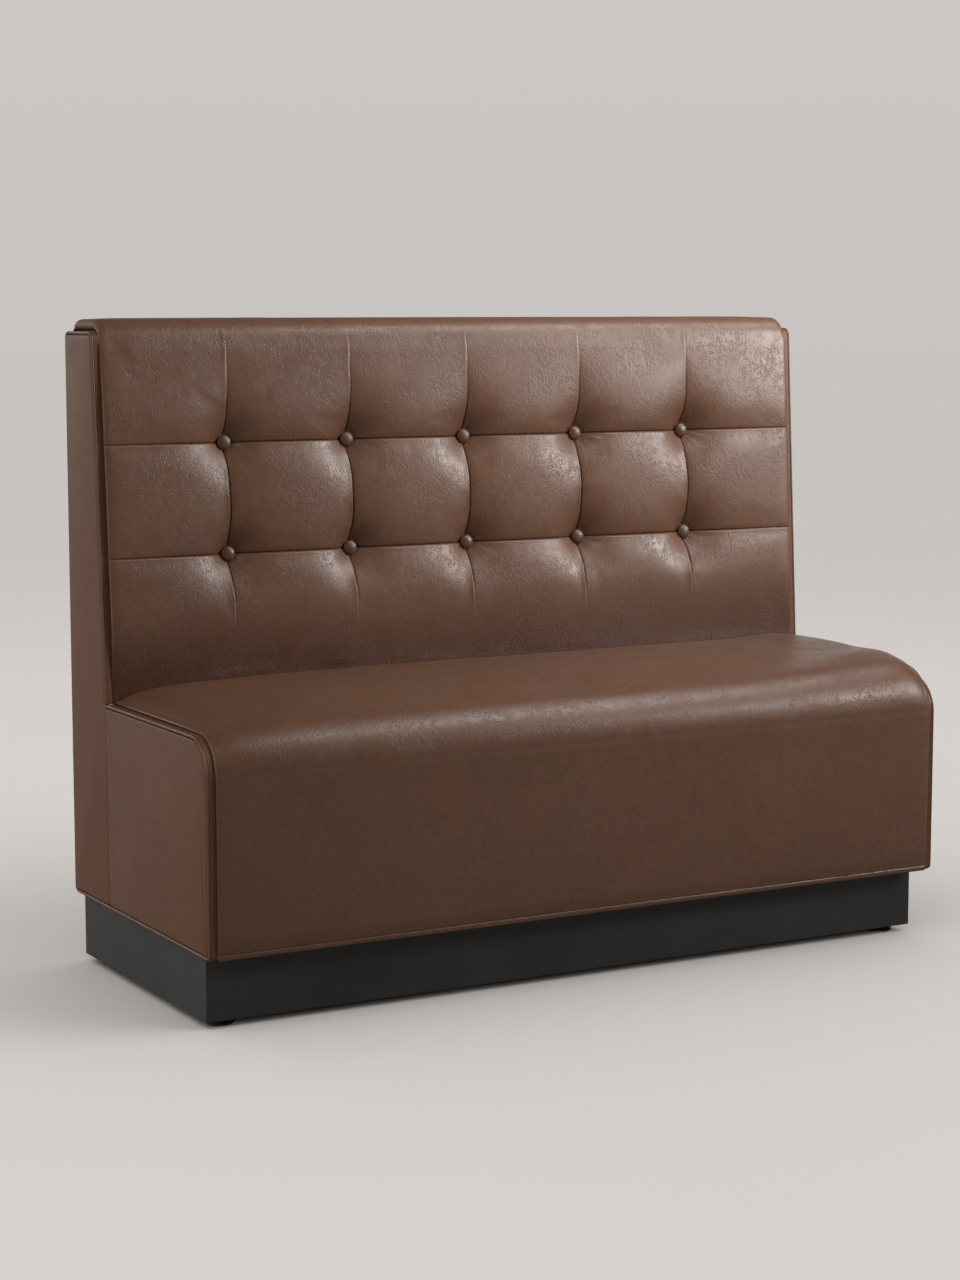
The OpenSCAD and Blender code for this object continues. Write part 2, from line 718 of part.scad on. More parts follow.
module back_rib(side) {
    shelf_low = shelf_top_h - ply_t;
    color(birch) at_side(side) upright(back_rib_x - ply_t / 2, ply_t) polygon([
        [seam_y + ply_t, seat_box_low], [frame_rear_y, seat_box_low], [frame_rear_y, rail_low],
        [board_y(rail_low) + board_through, rail_low],
        [board_y(shelf_top_h) + board_through, shelf_top_h],
        [lap_y + fit, shelf_top_h], [lap_y + fit, shelf_low - fit], [seam_y + ply_t, shelf_low - fit]
    ]);
}
button_row_heights = [button_low_h, button_high_h];
module at_row(z) {
    for (k = [-2 : 2])
        translate([k * button_pitch, plane_y(z), z]) rotate([90 - back_tilt, 0, 0])
            mirror([0, 0, 1]) children();
}
tie_hole_d = tie_d * 2.5;
module tuft_board() {
    color(birch) difference() {
        upright(-ply_inner_x, 2 * ply_inner_x) polygon([
            [board_y(shelf_top_h), shelf_top_h], [board_y(rail_low), rail_low],
            [board_y(rail_low) + board_through, rail_low],
            [board_y(shelf_top_h) + board_through, shelf_top_h]
        ]);
        for (z = button_row_heights)
            at_row(z) translate([0, 0, back_foam_t - over])
                cylinder(d = tie_hole_d, h = tuft_board_t + 2 * over, $fn = 32);
    }
}
module back_rear_panel() {
    color(birch) board([-ply_inner_x, frame_rear_y, body_z], [ply_inner_x, rear_y - leather_t, rail_top]);
}

// Buttons and their ties: the local Z axis runs into the back, from the sloping front plane.
// A button lies as deep as the corners of the pillows round it let its rim go.
button_back_r = button_d * 0.44;
button_cell = [column_gap_shares[3] * button_pitch, row_gap_shares[3] * button_row_gap];
function button_seat(z) =
    let (deep = pillow(0, z), rise = pillow(button_cell[0], z + button_cell[1]) - deep)
    -deep - rise * button_back_r / norm(button_cell) - fit;
tie_knot_d = tie_d * 8;
tie_knot_t = tie_d;
module tuft_button() {
    edge = button_dome_h * 0.3;
    crown_r = ((button_d / 2) ^ 2 + (button_dome_h - edge) ^ 2) / (2 * (button_dome_h - edge));
    half_angle = asin(button_d / 2 / crown_r);
    mirror([0, 0, 1]) rotate_extrude($fn = 48) polygon(concat(
        [[0, 0], [button_back_r, 0], [button_d / 2, edge]],
        [
            for (i = [1 : 7])
                let (a = half_angle * (1 - i / 7))
                [crown_r * sin(a), button_dome_h - crown_r + crown_r * cos(a)]
        ]
    ));
}
module tuft_buttons() {
    color(leather)
        for (z = button_row_heights) at_row(z) translate([0, 0, button_seat(z)]) tuft_button();
}
module button_ties() {
    back_face = back_foam_t + tuft_board_t;
    color(twine)
        for (z = button_row_heights) at_row(z) {
            translate([0, 0, button_seat(z)])
                cylinder(d = tie_d, h = back_face - button_seat(z), $fn = 16);
            translate([0, 0, back_face]) cylinder(d = tie_knot_d, h = tie_knot_t, $fn = 24);
        }
}

// End panels' covers and welts
welt_sides = 8;
function path_tangent(path, i) =
    let (a = path[max(0, i - 1)], b = path[min(len(path) - 1, i + 1)], d = b - a) d / norm(d);
module welt_tube(path) {
    n = len(path);
    polyhedron(
        points = [
            for (i = [0 : n - 1])
                let (t = path_tangent(path, i))
                for (k = [0 : welt_sides - 1])
                    let (a = (k + 0.5) * 360 / welt_sides, out = welt_r * sin(a), side = welt_r * cos(a))
                    [half_w - welt_r + out, path[i][0] - t[1] * side, path[i][1] + t[0] * side]
        ],
        faces = concat(
            [[for (k = [welt_sides - 1 : -1 : 0]) k]],
            [[for (k = [0 : welt_sides - 1]) (n - 1) * welt_sides + k]],
            [
                for (i = [0 : n - 2], k = [0 : welt_sides - 1])
                    let (a = i * welt_sides + k, b = i * welt_sides + (k + 1) % welt_sides)
                    each [[a, b, b + welt_sides], [a, b + welt_sides, a + welt_sides]]
            ]
        )
    );
}
function seat_welt_path() = concat(
    [[seam_y - fit, seat_side_h - welt_r]],
    [for (i = [1 : len(seat_edge(0)) - 1]) seat_edge(welt_r)[i]],
    arc(rear_y - end_rear_r, body_z + end_rear_r, end_rear_r - welt_r, 270, 360, bend_steps)
);
function back_welt_path() = let (path = back_edge(welt_r))
    concat([[path[0][0], seat_side_h + fit]], [for (i = [1 : len(path) - 1]) path[i]]);
module seat_welt(side) {
    color(welt_brown) at_side(side) welt_tube(seat_welt_path());
}
module back_welt(side) {
    color(welt_brown) at_side(side) welt_tube(back_welt_path());
}
module seat_end_cover(side) {
    color(leather) at_side(side) {
        upright(ply_outer_x, end_cover_t) polygon(concat(seat_edge(face_in), [[seam_y, body_z + face_in]]));
        upright(ply_inner_x, end_ply_t) polygon(concat(seat_edge(boxing_in), reversed(seat_edge(ply_in))));
    }
}
module back_end_cover(side) {
    color(leather) at_side(side) {
        upright(ply_outer_x, end_cover_t) polygon(back_outline(face_in, face_in, rear_y, face_in));
        upright(ply_inner_x, end_ply_t) polygon(concat(back_edge(boxing_in), reversed(back_edge(ply_in))));
    }
}

// Bolts between the seat box and the back frame
washer_d = bolt_d * 2;
washer_t = bolt_d * 0.2;
bolt_head_w = bolt_d * 1.85;
bolt_head_h = bolt_d * 0.66;
bolt_tail = bolt_d * 1.3;
module frame_bolts() {
    color(zinc) at_bolts() {
        translate([0, 0, -ply_t - washer_t]) cylinder(d = washer_d, h = washer_t, $fn = 32);
        translate([0, 0, -ply_t - washer_t - bolt_head_h])
            cylinder(d = bolt_head_w, h = bolt_head_h, $fn = 6);
        translate([0, 0, -ply_t - washer_t])
            cylinder(d = bolt_d, h = 2 * (ply_t + washer_t) + bolt_tail, $fn = 32);
    }
}
module frame_nuts() {
    color(zinc) at_bolts() translate([0, 0, ply_t]) difference() {
        union() {
            cylinder(d = washer_d, h = washer_t, $fn = 32);
            translate([0, 0, washer_t]) cylinder(d = bolt_head_w, h = bolt_d * 0.8, $fn = 6);
        }
        translate([0, 0, -over]) cylinder(d = bolt_d + bore_play / 2, h = bolt_d + 2 * over, $fn = 32);
    }
}

plinth_front_board();
plinth_rear_board();
plinth_end_board(-1);  // plinth_left_board
plinth_end_board(1);  // plinth_right_board
plinth_rib(-1);  // plinth_left_rib
plinth_rib(1);  // plinth_right_rib
plinth_corner_blocks();
foot_tee_nuts();
plinth_brackets();
bracket_screws();
foot_pad(-foot_x, foot_front_y);  // foot_pad_front_left
foot_pad(foot_x, foot_front_y);  // foot_pad_front_right
foot_pad(-foot_x, foot_rear_y);  // foot_pad_rear_left
foot_pad(foot_x, foot_rear_y);  // foot_pad_rear_right
foot_stem(-foot_x, foot_front_y);  // foot_stem_front_left
foot_stem(foot_x, foot_front_y);  // foot_stem_front_right
foot_stem(-foot_x, foot_rear_y);  // foot_stem_rear_left
foot_stem(foot_x, foot_rear_y);  // foot_stem_rear_right
seat_base_board();
seat_end_ply(-1);  // seat_end_ply_left
seat_end_ply(1);  // seat_end_ply_right
seat_front_board();
seat_rear_board();
seat_rib(-1);  // seat_left_rib
seat_rib(1);  // seat_right_rib
seat_deck();
seat_foam();
seat_front_foam();
seat_cover();
seat_end_cover(-1);  // seat_end_cover_left
seat_end_cover(1);  // seat_end_cover_right
seat_welt(-1);  // seat_welt_left
seat_welt(1);  // seat_welt_right
back_end_ply(-1);  // back_end_ply_left
back_end_ply(1);  // back_end_ply_right
back_bottom_rail();
back_lower_rail();
back_shelf();
back_top_rail();
back_rib(-1);  // back_left_rib
back_rib(1);  // back_right_rib
tuft_board();
back_rear_panel();
back_foam();
top_roll_foam();
back_cover(0, low_seam_row);  // back_cover_lower
back_cover(low_seam_row, high_seam_row);  // back_cover_middle
back_cover(high_seam_row, last_row);  // back_cover_upper
rear_cover();
back_end_cover(-1);  // back_end_cover_left
back_end_cover(1);  // back_end_cover_right
back_welt(-1);  // back_welt_left
back_welt(1);  // back_welt_right
tuft_buttons();
button_ties();
frame_bolts();
frame_nuts();
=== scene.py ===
"""Looks of an upholstered banquette bench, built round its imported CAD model. Metres, +Z up."""

import math

import bmesh
import bpy
import numpy as np
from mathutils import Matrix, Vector


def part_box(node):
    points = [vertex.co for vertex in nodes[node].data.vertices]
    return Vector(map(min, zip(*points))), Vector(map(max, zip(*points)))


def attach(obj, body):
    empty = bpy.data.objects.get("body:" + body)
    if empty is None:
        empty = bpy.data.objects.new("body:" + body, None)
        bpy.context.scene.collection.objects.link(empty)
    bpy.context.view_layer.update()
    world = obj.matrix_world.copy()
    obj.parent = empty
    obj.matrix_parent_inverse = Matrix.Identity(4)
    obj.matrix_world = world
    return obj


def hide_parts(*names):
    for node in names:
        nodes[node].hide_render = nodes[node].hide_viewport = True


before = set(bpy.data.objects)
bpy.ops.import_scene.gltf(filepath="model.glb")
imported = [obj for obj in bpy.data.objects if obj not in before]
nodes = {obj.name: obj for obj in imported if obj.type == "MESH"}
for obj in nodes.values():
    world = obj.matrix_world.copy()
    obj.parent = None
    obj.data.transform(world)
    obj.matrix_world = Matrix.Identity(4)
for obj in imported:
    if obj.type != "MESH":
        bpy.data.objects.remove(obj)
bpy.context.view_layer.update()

# The bench's own sizes, as its CAD has them
HALF_W = 0.680
CUSHION_HALF = 0.6615
FRONT_Y = -0.278
SEAM_Y = 0.125
REAR_Y = 0.280
BODY_Z = 0.117
SEAT_EDGE_Z = 0.452
END_TOP_Z = 1.046
TOP_Z = 1.067
BACK_SLOPE = 0.037 / 0.594
TILT = math.atan(BACK_SLOPE)
BUTTON_PITCH = 0.224
LOW_ROW_Z = 0.683
HIGH_ROW_Z = 0.865
ROWS_Z = (LOW_ROW_Z, HIGH_ROW_Z)
ROW_GAP = HIGH_ROW_Z - LOW_ROW_Z
BUTTON_X = [k * BUTTON_PITCH for k in range(-2, 3)]
SEAT_FRONT_R = 0.060
WELT_R = 0.0028
PLY_IN_X = 0.664
SHOULDER_X = 0.6745


def plane_y(z):
    """Where the sloping front of the back is at a height."""
    return SEAM_Y + (z - SEAT_EDGE_Z) * BACK_SLOPE


def ramp(start, end, value):
    k = np.clip((value - start) / (end - start), 0, 1)
    return k * k * (3 - 2 * k)


# Camera, floor and light

LENS_MM = 74.74
CAMERA_PLACE = (-2.2116, -3.8438, 1.0885)
CAMERA_AIM = (-0.06185, 0, 0.53225)
NEUTRAL = (1, 0.99, 0.975)
# The floor's near tone is painted light, lighter round the bench than far off
NEAR_TONE = (0.686, 0.661, 0.643)
FAR_TONE = (0.577, 0.552, 0.533)
HIGH_TONE = (0.604, 0.578, 0.558)
BOUNCE = 0.45  # the share of its shown tone that the floor bounces


def new_object(name, data):
    made = bpy.data.objects.new(name, data)
    bpy.context.scene.collection.objects.link(made)
    return made


def set_camera():
    data = bpy.data.cameras.new("camera")
    data.lens = LENS_MM
    data.sensor_width = 36
    camera = new_object("camera", data)
    camera.location = CAMERA_PLACE
    camera.rotation_euler = (Vector(CAMERA_AIM) - camera.location).to_track_quat("-Z", "Y").to_euler()
    bpy.context.scene.camera = camera


def hang_light(name, kind, power, faces, state, place=(0, 0, 0)):
    """A light that falls on the floor alone (INCLUDE), or on all but the floor (EXCLUDE)."""
    data = bpy.data.lights.new(name, kind)
    data.energy = power
    data.color = NEUTRAL
    light = new_object(name, data)
    light.location = place
    light.rotation_euler = Vector(faces).to_track_quat("Z", "Y").to_euler()
    group = bpy.data.collections.new(name + "_reach")
    group.objects.link(bpy.data.objects["floor"])
    group.collection_objects[0].light_linking.link_state = state
    light.light_linking.receiver_collection = group
    return data


def soft_box(name, place, aim, size, beam_degrees, watts):
    """An oval soft box near the bench, with a grid that narrows its beam."""
    data = hang_light(name, "AREA", watts, Vector(place) - Vector(aim), "EXCLUDE", place)
    data.shape = "ELLIPSE"
    data.size, data.size_y = size
    data.spread = math.radians(beam_degrees)


def big_light(name, toward, strength, spread_degrees, state):
    """A far soft light, as wide as the angle it fills."""
    hang_light(name, "SUN", strength, toward, state).angle = math.radians(spread_degrees)


def light_studio():
    soft_box("key_box", (2.6, -1.9, 1.75), (0.5, 0.1, 1.18), (1.2, 1.2), 64, 12.8)
    soft_box("top_box", (0.95, -0.68, 2.1), (0.2, 0.05, 0.88), (1.7, 0.8), 110, 10.0)
    big_light("left_fill", (-0.9, -0.12, 0.42), 2.05, 70, "EXCLUDE")
    big_light("rear_right_fill", (0.6, 0.8, 0.08), 0.5, 60, "EXCLUDE")
    big_light("rear_left_fill", (-0.35, 0.93, 0.08), 1.0, 60, "EXCLUDE")
    big_light("floor_key", (0.72, -0.5, 0.47), 1.1, 42, "INCLUDE")
    big_light("floor_top", (0.1, -0.05, 0.97), 2.1, 150, "INCLUDE")
    big_light("floor_left", (-0.7, -0.3, 0.65), 0.55, 60, "INCLUDE")
    bpy.context.scene.view_settings.view_transform = "Standard"


def paint_backdrop():
    """What the camera sees behind the bench, and a weak even fill for all other rays."""
    world = bpy.data.worlds.new("studio")
    bpy.context.scene.world = world
    world.use_nodes = True
    tree = world.node_tree
    tree.nodes.clear()
    direction = add(tree, "ShaderNodeTexCoord").outputs["Generated"]
    height = add(tree, "ShaderNodeSeparateXYZ", Vector=direction).outputs["Z"]
    shown = mix(tree, band(tree, height, 0.0, 0.12), FAR_TONE, HIGH_TONE)
    seen = add(tree, "ShaderNodeBackground", Color=shown)
    fill = add(tree, "ShaderNodeBackground", Color=(0.98, 0.97, 0.95), Strength=0.06)
    both = add(tree, "ShaderNodeMixShader")
    is_seen = add(tree, "ShaderNodeLightPath").outputs["Is Camera Ray"]
    for into, value in zip(both.inputs, (is_seen, fill.outputs[0], seen.outputs[0])):
        tree.links.new(value, into)
    add(tree, "ShaderNodeOutputWorld", Surface=both.outputs[0])


def lay_floor():
    clear_selection()
    bpy.ops.mesh.primitive_circle_add(vertices=96, radius=60, fill_type="NGON")
    floor = bpy.context.object
    floor.name = "floor"
    floor.data.materials.append(floor_paint)


# Shader nodes

FLOAT, COLOUR, VECTOR = "NodeSocketFloat", "NodeSocketColor", "NodeSocketVector"


def plug(tree, value, into):
    """Links a socket to a node's input, or sets the input to a value."""
    if isinstance(value, bpy.types.NodeSocket):
        tree.links.new(value, into)
    else:
        into.default_value = (*value, 1) if into.type == "RGBA" and len(value) == 3 else value


def add(tree, kind, **values):
    """A node with its settings, and with its inputs set or linked where the name is an input's."""
    made = tree.nodes.new(kind)
    for key, value in values.items():
        if hasattr(made, key):
            setattr(made, key, value)
        else:
            plug(tree, value, made.inputs[key.replace("_", " ")])
    return made


def maths(tree, operation, *values, kind="ShaderNodeMath"):
    node = add(tree, kind, operation=operation)
    for into, value in zip(node.inputs, values):
        plug(tree, value, into)
    return node.outputs["Value"] if operation in ("DOT_PRODUCT", "LENGTH") else node.outputs[0]


def vectors(tree, operation, *values):
    return maths(tree, operation, *values, kind="ShaderNodeVectorMath")


def mix(tree, share, low, high, kind="RGBA", blend="MIX"):
    """Two colours, or two numbers, mixed by a share."""
    node = add(tree, "ShaderNodeMix", data_type=kind, blend_type=blend)
    first, result = {"FLOAT": (2, 0), "RGBA": (6, 2)}[kind]
    for index, value in ((0, share), (first, low), (first + 1, high)):
        plug(tree, value, node.inputs[index])
    return node.outputs[result]


def noise_at(tree, place, scale, detail=3, rough=0.55, warp=0.0, out="Fac"):
    return add(
        tree, "ShaderNodeTexNoise", Vector=place, Scale=scale, Detail=detail, Roughness=rough, Distortion=warp
    ).outputs[out]


def stretch(tree, place, scale, turn=(0, 0, 0)):
    return add(tree, "ShaderNodeMapping", Vector=place, Scale=scale, Rotation=turn).outputs[0]


def band(tree, value, low, high, out_low=0.0, out_high=1.0):
    """A number that rises smoothly between two limits, mapped to two others."""
    return add(
        tree, "ShaderNodeMapRange", interpolation_type="SMOOTHSTEP", Value=value,
        From_Min=low, From_Max=high, To_Min=out_low, To_Max=out_high,
    ).outputs["Result"]


def start_group(name, ins, outs):
    tree = bpy.data.node_groups.new(name, "ShaderNodeTree")
    for label, kind, value in ins:
        made = tree.interface.new_socket(name=label, in_out="INPUT", socket_type=kind)
        if value is not None:
            made.default_value = value
    for label, kind in outs:
        tree.interface.new_socket(name=label, in_out="OUTPUT", socket_type=kind)
    return tree, add(tree, "NodeGroupInput").outputs, add(tree, "NodeGroupOutput").inputs


def make_leather_grain():
    """Pebbled hide with mottling and short hairline crinkles. Height is in millimetres."""
    tree, ins, outs = start_group(
        "leather_grain",
        [
            ("Place", VECTOR, None), ("Pebble Scale", FLOAT, 620.0),
            ("Crinkle", FLOAT, 1.0), ("Mottle", FLOAT, 0.2),
        ],
        [("Height", FLOAT), ("Tone", FLOAT), ("Sheen", FLOAT)],
    )
    place = ins["Place"]
    wander = noise_at(tree, place, 34.0, 2, out="Color")
    shifted = vectors(tree, "MULTIPLY_ADD", wander, (0.012, 0.012, 0.012), place)
    pebble = add(tree, "ShaderNodeTexVoronoi", feature="SMOOTH_F1", Vector=place, Smoothness=0.6)
    tree.links.new(ins["Pebble Scale"], pebble.inputs["Scale"])
    height = maths(tree, "MULTIPLY", pebble.outputs["Distance"], -0.035)

    lines = []
    for scale, squeeze, turn, wide in (
        (140.0, (1.0, 1.0, 0.45), (0.3, 0.2, 0.5), 0.14),
        (230.0, (1.0, 1.0, 0.6), (1.0, 0.7, -0.4), 0.19),
    ):
        where = stretch(tree, shifted, squeeze, turn)
        cells = add(tree, "ShaderNodeTexVoronoi", feature="DISTANCE_TO_EDGE", Vector=where, Scale=scale)
        gate = band(tree, noise_at(tree, place, scale * 0.42, 1), 0.47, 0.58)
        line = band(tree, cells.outputs["Distance"], 0.0, wide, 1.0, 0.0)
        lines.append(maths(tree, "MULTIPLY", line, gate))
    patches = band(tree, noise_at(tree, place, 13.0, 2), 0.35, 0.6, 0.3, 1.0)
    crinkle = maths(tree, "MULTIPLY", maths(tree, "MAXIMUM", *lines), patches)
    crinkle = maths(tree, "MULTIPLY", crinkle, ins["Crinkle"])

    height = maths(tree, "MULTIPLY_ADD", noise_at(tree, place, 16.0, 2), 0.35, height)
    height = maths(tree, "MULTIPLY_ADD", crinkle, -0.15, height)
    mottle = maths(tree, "MULTIPLY", noise_at(tree, shifted, 210.0, 3, 0.6, 0.6), ins["Mottle"])
    tree.links.new(maths(tree, "ADD", mottle, height), outs["Height"])

    tone = maths(tree, "MULTIPLY", noise_at(tree, place, 5.0, 4), 0.5)
    tone = maths(tree, "MULTIPLY_ADD", noise_at(tree, place, 110.0, 3), 0.7, tone)
    tone = maths(tree, "MULTIPLY_ADD", crinkle, -0.27, tone)
    tree.links.new(band(tree, tone, 0.3, 0.9), outs["Tone"])
    tree.links.new(maths(tree, "MULTIPLY_ADD", crinkle, 0.5, noise_at(tree, place, 22.0, 3)), outs["Sheen"])
    return tree


def make_wood_grain():
    """Veneer on a board's faces and the edges of its plies round them."""
    tree, ins, outs = start_group(
        "wood_grain",
        [
            ("Place", VECTOR, None), ("Normal", VECTOR, None), ("Across", VECTOR, (0.0, 0.0, 1.0)),
            ("Ply", FLOAT, 0.0), ("Light", COLOUR, (0.7, 0.5, 0.27, 1)),
            ("Dark", COLOUR, (0.5, 0.32, 0.16, 1)),
        ],
        [("Color", COLOUR), ("Height", FLOAT), ("Open", FLOAT)],
    )
    place = ins["Place"]
    figure = noise_at(tree, stretch(tree, place, (1.6, 22.0, 22.0)), 2.6, 6, 0.6, 0.8)
    pores = noise_at(tree, stretch(tree, place, (14.0, 420.0, 420.0)), 1.0, 3)
    layers = maths(tree, "PINGPONG", vectors(tree, "DOT_PRODUCT", place, ins["Across"]), 0.0014)
    layers = band(tree, layers, 0.0005, 0.0009)
    edge = maths(tree, "ABSOLUTE", vectors(tree, "DOT_PRODUCT", ins["Normal"], ins["Across"]))
    edge = maths(tree, "MULTIPLY", maths(tree, "LESS_THAN", edge, 0.6), ins["Ply"])
    veneer = maths(tree, "MULTIPLY_ADD", pores, 0.3, band(tree, figure, 0.35, 0.68))
    shade = mix(tree, edge, veneer, layers, "FLOAT")
    tree.links.new(mix(tree, shade, ins["Light"], ins["Dark"]), outs["Color"])
    tree.links.new(maths(tree, "MULTIPLY", pores, -0.12), outs["Height"])
    tree.links.new(pores, outs["Open"])
    return tree


# Materials

def start_material(name, **values):
    material = bpy.data.materials.new(name)
    material.use_nodes = True
    tree = material.node_tree
    tree.nodes.clear()
    shader = add(tree, "ShaderNodeBsdfPrincipled", **values)
    add(tree, "ShaderNodeOutputMaterial", Surface=shader.outputs[0])
    return material, tree, shader, add(tree, "ShaderNodeTexCoord").outputs["Object"]


def coat(tree, shader, colour, roughness, height):
    """Gives a shader its colour, its roughness and its relief, whose height is in millimetres."""
    relief = add(tree, "ShaderNodeBump", Strength=1.0, Distance=0.001, Height=height).outputs["Normal"]
    for label, value in (("Base Color", colour), ("Roughness", roughness), ("Normal", relief)):
        tree.links.new(value, shader.inputs[label])


# Painted shade: the back's hide is tinted darker down by the seat, where the join between seat and back lies
# in shade
SEAT_SHADE_TINT = (0.52, 0.39, 0.28)
SEAT_SHADE_Z = (0.475, 0.605)  # painted shade, from the seat where it is darkest to where the hide has its full colour
RUBBED_Z = (1.050, 1.063)  # over the bend of the top roll
RUBBED_ROUGHER = 0.28


def leather(name, dark, light, rough, pebble=620.0, crinkle=1.0, mottle=0.2, gloss=0.45, shaded_and_rubbed=False):
    """A hide; the back's one has painted shade that makes it darker down by the seat, and its top edge is
    rubbed matt.
    """
    material, tree, shader, place = start_material(name, Specular_IOR_Level=gloss)
    grain = add(
        tree, "ShaderNodeGroup", node_tree=leather_grain,
        Place=place, Pebble_Scale=pebble, Crinkle=crinkle, Mottle=mottle,
    ).outputs
    colour = mix(tree, grain["Tone"], dark, light)
    roughness = band(tree, grain["Sheen"], 0.25, 0.9, *rough)
    if shaded_and_rubbed:
        # Painted shade: the colour darkens towards the seat; the rougher band over the top roll changes
        # roughness only
        height = add(tree, "ShaderNodeSeparateXYZ", Vector=place).outputs["Z"]
        colour = vectors(tree, "MULTIPLY", colour, mix(tree, band(tree, height, *SEAT_SHADE_Z), SEAT_SHADE_TINT, (1, 1, 1)))
        roughness = maths(tree, "ADD", roughness, band(tree, height, *RUBBED_Z, 0.0, RUBBED_ROUGHER))
    coat(tree, shader, colour, roughness, grain["Height"])
    return material


def board_wood(name, across, light, dark, ply=1.0):
    """Wood whose plies, if it has any, lie across the given direction."""
    material, tree, shader, place = start_material(name, Roughness=0.6)
    normal = add(tree, "ShaderNodeNewGeometry").outputs["Normal"]
    grain = add(
        tree, "ShaderNodeGroup", node_tree=wood_grain,
        Place=place, Normal=normal, Across=across, Ply=ply, Light=light, Dark=dark,
    ).outputs
    coat(tree, shader, grain["Color"], band(tree, grain["Open"], 0.3, 0.7, 0.52, 0.7), grain["Height"])
    return material


def plinth_lacquer():
    """Satin black lacquer over board: faint grain under the film and a little orange peel."""
    material, tree, shader, place = start_material("black_lacquer", Roughness=0.42, Specular_IOR_Level=0.35)
    grain = noise_at(tree, stretch(tree, place, (3.0, 60.0, 60.0)), 3.0, 4)
    smudge = noise_at(tree, place, 7.0, 4)
    tone = band(tree, maths(tree, "MULTIPLY_ADD", grain, 0.4, smudge), 0.4, 1.0)
    colour = mix(tree, tone, (0.0270, 0.0248, 0.0225), (0.038, 0.0352, 0.0325))
    height = maths(tree, "MULTIPLY", noise_at(tree, place, 320.0, 2), 0.02)
    height = maths(tree, "MULTIPLY_ADD", grain, 0.03, height)
    coat(tree, shader, colour, band(tree, smudge, 0.3, 0.7, 0.36, 0.5), height)
    return material


def plated_steel():
    material, tree, shader, place = start_material("zinc_plated_steel", Metallic=1.0, Roughness=0.36)
    blot = noise_at(tree, place, 60.0, 4)
    colour = mix(tree, band(tree, blot, 0.3, 0.7), (0.46, 0.48, 0.50), (0.66, 0.65, 0.60))
    drawn = noise_at(tree, stretch(tree, place, (900.0, 900.0, 60.0)), 1.0, 2)
    coat(tree, shader, colour, band(tree, blot, 0.3, 0.7, 0.3, 0.45), maths(tree, "MULTIPLY", drawn, 0.02))
    return material


def moulded_nylon():
    material, tree, shader, place = start_material("black_nylon", Roughness=0.5)
    scuff = noise_at(tree, place, 45.0, 4)
    colour = mix(tree, band(tree, scuff, 0.4, 0.75), (0.010, 0.010, 0.011), (0.026, 0.026, 0.027))
    sparks = maths(tree, "MULTIPLY", noise_at(tree, place, 900.0, 2), 0.03)
    coat(tree, shader, colour, band(tree, scuff, 0.3, 0.7, 0.42, 0.6), sparks)
    return material


def laid_twine():
    material, tree, shader, place = start_material("waxed_twine", Roughness=0.75)
    strands = add(
        tree, "ShaderNodeTexWave", bands_direction="DIAGONAL", Scale=1.0, Distortion=1.5, Detail=1.0,
        Vector=stretch(tree, place, (500.0, 500.0, 500.0)),
    ).outputs["Fac"]
    colour = mix(tree, strands, (0.42, 0.37, 0.28), (0.72, 0.66, 0.54))
    coat(tree, shader, colour, band(tree, strands, 0, 1, 0.85, 0.65), maths(tree, "MULTIPLY", strands, 0.2))
    return material


def pale_floor():
    """Matt paper with painted light: lighter near the bench and darker away from it, and it bounces less
    light than it shows.
    """
    material, tree, shader, place = start_material("pale_floor", Roughness=0.9, Specular_IOR_Level=0.0)
    # Painted light: the paper's colour falls off away from the bench as lamp light would
    shown = mix(tree, band(tree, vectors(tree, "LENGTH", place), 1.0, 7.5), NEAR_TONE, FAR_TONE)
    seen = add(tree, "ShaderNodeLightPath").outputs["Is Camera Ray"]
    weight = maths(tree, "MULTIPLY_ADD", seen, 1 - BOUNCE, BOUNCE)
    cloud = band(tree, noise_at(tree, place, 0.8, 3), 0.2, 0.8, 0.99, 1.01)
    weight = mix(tree, maths(tree, "MULTIPLY", weight, cloud), (0, 0, 0), (1, 1, 1))
    tree.links.new(mix(tree, 1.0, shown, weight, blend="MULTIPLY"), shader.inputs["Base Color"])
    return material


leather_grain = make_leather_grain()
wood_grain = make_wood_grain()
HIDE = ((0.101, 0.0455, 0.0240), (0.133, 0.0610, 0.0330), (0.34, 0.46))
brown_leather = leather("brown_leather", *HIDE)
back_leather = leather("back_leather", *HIDE, shaded_and_rubbed=True)
panel_leather = leather(
    "panel_leather", (0.103, 0.0425, 0.0200), (0.130, 0.0555, 0.0270), (0.42, 0.52), 620.0, 0.4, 0.05, 0.28)
piping_leather = leather(
    "piping_leather", (0.096, 0.0430, 0.0225), (0.128, 0.0580, 0.0310), (0.36, 0.48), 900.0, 0.4, 0.03)
button_leather = leather(
    "button_leather", (0.062, 0.0285, 0.0155), (0.082, 0.0385, 0.0215), (0.34, 0.44), 800.0, 0.3, 0.03)
BIRCH = ((0.72, 0.53, 0.31), (0.52, 0.34, 0.18))
ply_flat = board_wood("birch_ply_flat", (0, 0, 1), *BIRCH)
ply_front = board_wood("birch_ply_upright", (0, 1, 0), *BIRCH)
ply_side = board_wood("birch_ply_crosswise", (1, 0, 0), *BIRCH)
solid_beech = board_wood("beech", (0, 0, 1), (0.58, 0.36, 0.19), (0.42, 0.22, 0.10), 0.0)
black_lacquer = plinth_lacquer()
zinc = plated_steel()
nylon = moulded_nylon()
twine = laid_twine()
floor_paint = pale_floor()


# Modelling by hand

def clear_selection():
    if bpy.context.object and bpy.context.object.mode != "OBJECT":
        bpy.ops.object.mode_set(mode="OBJECT")
    bpy.ops.object.select_all(action="DESELECT")


def take(piece, *others):
    """Selects a piece, alone or with others, and makes it the active one."""
    clear_selection()
    for part in (piece, *others):
        part.select_set(True)
    bpy.context.view_layer.objects.active = piece


